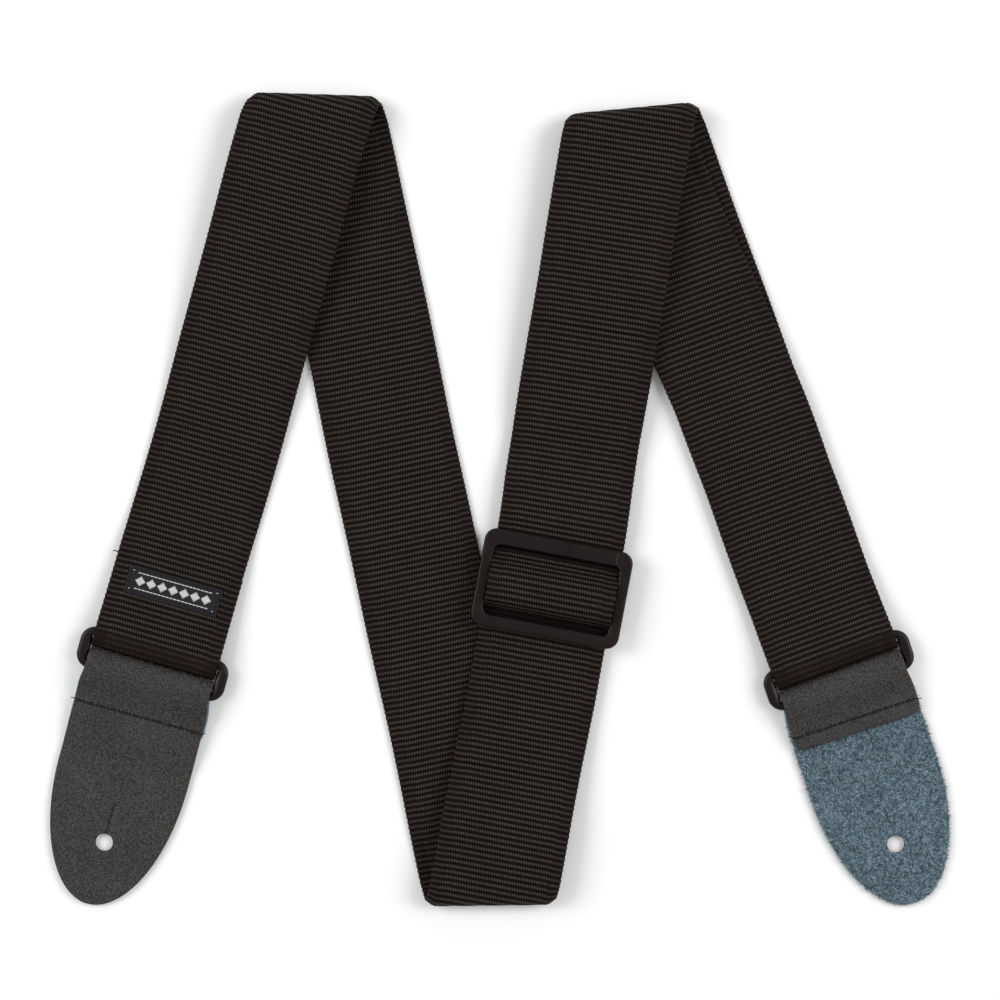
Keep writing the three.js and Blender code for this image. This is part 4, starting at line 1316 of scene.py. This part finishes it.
def tab_seam(tab, heights):
    """The row of stitches through both layers, with a loose end at each side."""
    reach = TAB_HALF_WIDTH_AT_RING + 0.3
    lift = float(heights(tab.seam)) + LEATHER_THICKNESS / 2 - 0.08
    line = tab.point(np.full(60, float(tab.seam)), np.linspace(reach, -reach, 60), lift)
    normals = np.tile([0.0, 0.0, 1.0], (60, 1))
    threads = Threads()
    threads.row(line, normals, pitch=4.6, radius=0.52, spans=((0.0, 0.6), (0.7, 0.9)))
    for end, way in ((0, -1.0), (-1, 1.0)):
        threads.cut_end(line[end], normals[0], (way, 0.2, -0.05), length=2.0, radius=0.2)
    name = tab.name + "_seam"
    threads.finish(name, thread_look, tab.name, name)


# ---- suede fibres ----
def fibre_mesh(name, roots, directions, lengths, widths, look, body):
    """Fine tapered fibres: each is a bent three-sided thread from its root."""
    count = len(roots)
    bend = random.normal(0, 0.45, (count, 3))
    bend[:, 2] = np.abs(bend[:, 2]) * 0.4
    side = unit(np.cross(directions, [0.0, 0.0, 1.0]))
    lift = np.cross(side, directions)
    points = np.zeros((count, 3, 3, 3))
    for level, share in enumerate((0.0, 0.55, 1.0)):
        centre = roots + directions * (lengths * share)[:, None] + bend * (lengths * share**2 * 0.35)[:, None]
        points[:, level] = circles(centre, widths * (1 - 0.8 * share), side, lift, 3)
    first_points = (np.arange(count) * 9)[:, None]
    faces = [row for shape in tube_faces(3, 3) for row in first_points + np.array(shape)]
    dress(mesh_object(name, points.reshape(-1, 3), faces), look, body)


def scattered_directions(count, rise):
    turn = random.uniform(0, 2 * np.pi, count)
    up = random.uniform(0.02, rise, count)
    flat = np.sqrt(1 - up**2)
    return np.stack([np.cos(turn) * flat, np.sin(turn) * flat, up], axis=1)


NAP_FIBRES = 12500
NAP_SHARES = (0.4, 0.32, 0.28)
NAP_LENGTHS = (0.7, 2.1)
NAP_WIDTHS = (0.08, 0.18)
EDGE_FIBRES = 1500
EDGE_LENGTHS = (0.4, 1.5)
EDGE_WIDTHS = (0.05, 0.1)


def suede_nap(tab):
    """Matted fibres over the suede face, in three shades from dark to light."""
    for index, share in enumerate(NAP_SHARES):
        count = int(NAP_FIBRES * share)
        distance = random.uniform(FLAP_END - 1.0, tab.tip - 0.3, count * 2)
        across = random.uniform(-1, 1, count * 2) * TAB_HALF_WIDTH
        inside = np.abs(across) < body_half_width(distance, tab.tip) - 0.1
        clear = np.hypot(distance - tab.hole, across) > BUTTON_HOLE_DIAMETER / 2 + 0.1
        keep = inside & clear
        distance, across = distance[keep][:count], across[keep][:count]
        roots = tab.point(distance, across, LEATHER_THICKNESS - 0.04)
        many = len(distance)
        fibre_mesh(f"suede_nap_{index}", roots, scattered_directions(many, 0.35),
                   random.uniform(*NAP_LENGTHS, many), random.uniform(*NAP_WIDTHS, many),
                   fibre_looks[index], tab.name)


def edge_fibres(tab):
    """Fibres that stand out round the suede's edge."""
    distance = tab.tip - (tab.tip - 15.0) * random.uniform(0, 1, EDGE_FIBRES) ** 1.25
    side = random.choice([-1.0, 1.0], EDGE_FIBRES)
    width = body_half_width(distance, tab.tip)
    slope = (body_half_width(np.minimum(distance + 0.1, tab.tip - 0.001), tab.tip) - width) / 0.1
    height = random.uniform(0.5, LEATHER_THICKNESS - 0.1, EDGE_FIBRES)
    roots = tab.point(distance, side * (width - 0.05), height)
    outward = unit(side[:, None] * tab.left + (-np.clip(slope, -6, 0))[:, None] * -tab.up)
    rise = random.uniform(-0.15, 0.4, EDGE_FIBRES)
    directions = np.concatenate([outward, rise[:, None]], axis=1)
    directions[:, :2] += random.normal(0, 0.45, (EDGE_FIBRES, 2))
    fibre_mesh("suede_edge_fuzz", roots, unit(directions), random.uniform(*EDGE_LENGTHS, EDGE_FIBRES),
               random.uniform(*EDGE_WIDTHS, EDGE_FIBRES), fibre_looks[1], tab.name)


# ---- build everything that isn't webbing ----
end_seam()
slider_end_seam()
label_piece()
label_stitching()
label_pattern()
ring_piece("left_ring", left_tab)
ring_piece("right_ring", right_tab)
slider_piece()
mould_line()
centre_bar_piece()
tab_piece(left_tab)
tab_piece(right_tab)
tab_seam(left_tab, body_over_flap)
tab_seam(right_tab, flap_on_body)
suede_nap(right_tab)
edge_fibres(right_tab)


# ---- floor, lights and camera, in metres ----
FLOOR_HALF = 4.0
FLOOR_DROP = 0.0002
FLOOR_GREY = 0.97
LIGHT_SIZE = 0.9
LIGHT_POWER = 14.0
LENS = 100
SENSOR = 36
EYE = (0.0002, -0.0003, 1.105)


def linked(name, data, place):
    one = bpy.data.objects.new(name, data)
    one.location = place
    bpy.context.scene.collection.objects.link(one)
    return one


def floor_piece():
    mesh = bpy.data.meshes.new("floor")
    corners = [(x * FLOOR_HALF, y * FLOOR_HALF, 0) for x, y in ((-1, -1), (1, -1), (1, 1), (-1, 1))]
    mesh.from_pydata(corners, [], [(0, 1, 2, 3)])
    n = Nodes("floor_white")
    n.shader.inputs["Base Color"].default_value = (FLOOR_GREY, FLOOR_GREY, FLOOR_GREY, 1)
    n.finish(roughness=1.0, specular=0.0)
    mesh.materials.append(n.material)
    linked("floor", mesh, (0, 0, -FLOOR_DROP))


def area_light(name, place):
    """A square light that faces the origin."""
    light = bpy.data.lights.new(name, "AREA")
    light.shape, light.size, light.energy = "SQUARE", LIGHT_SIZE, LIGHT_POWER
    x, y, z = place
    linked(name, light, place).rotation_euler = (0.0, math.atan2(math.hypot(x, y), z), math.atan2(y, x))


def studio():
    world = bpy.data.worlds.new("studio")
    world.use_nodes = True
    background = world.node_tree.nodes["Background"]
    background.inputs["Color"].default_value = (1, 1, 1, 1)
    background.inputs["Strength"].default_value = 0.5
    bpy.context.scene.world = world
    area_light("light_left", (-1.25, 0.35, 1.15))
    area_light("light_right", (1.25, 0.25, 1.15))
    bpy.context.scene.view_settings.view_transform = "Standard"


def camera():
    lens = bpy.data.cameras.new("camera")
    lens.type, lens.lens, lens.sensor_width = "PERSP", LENS, SENSOR
    bpy.context.scene.camera = linked("camera", lens, EYE)


floor_piece()
studio()
camera()
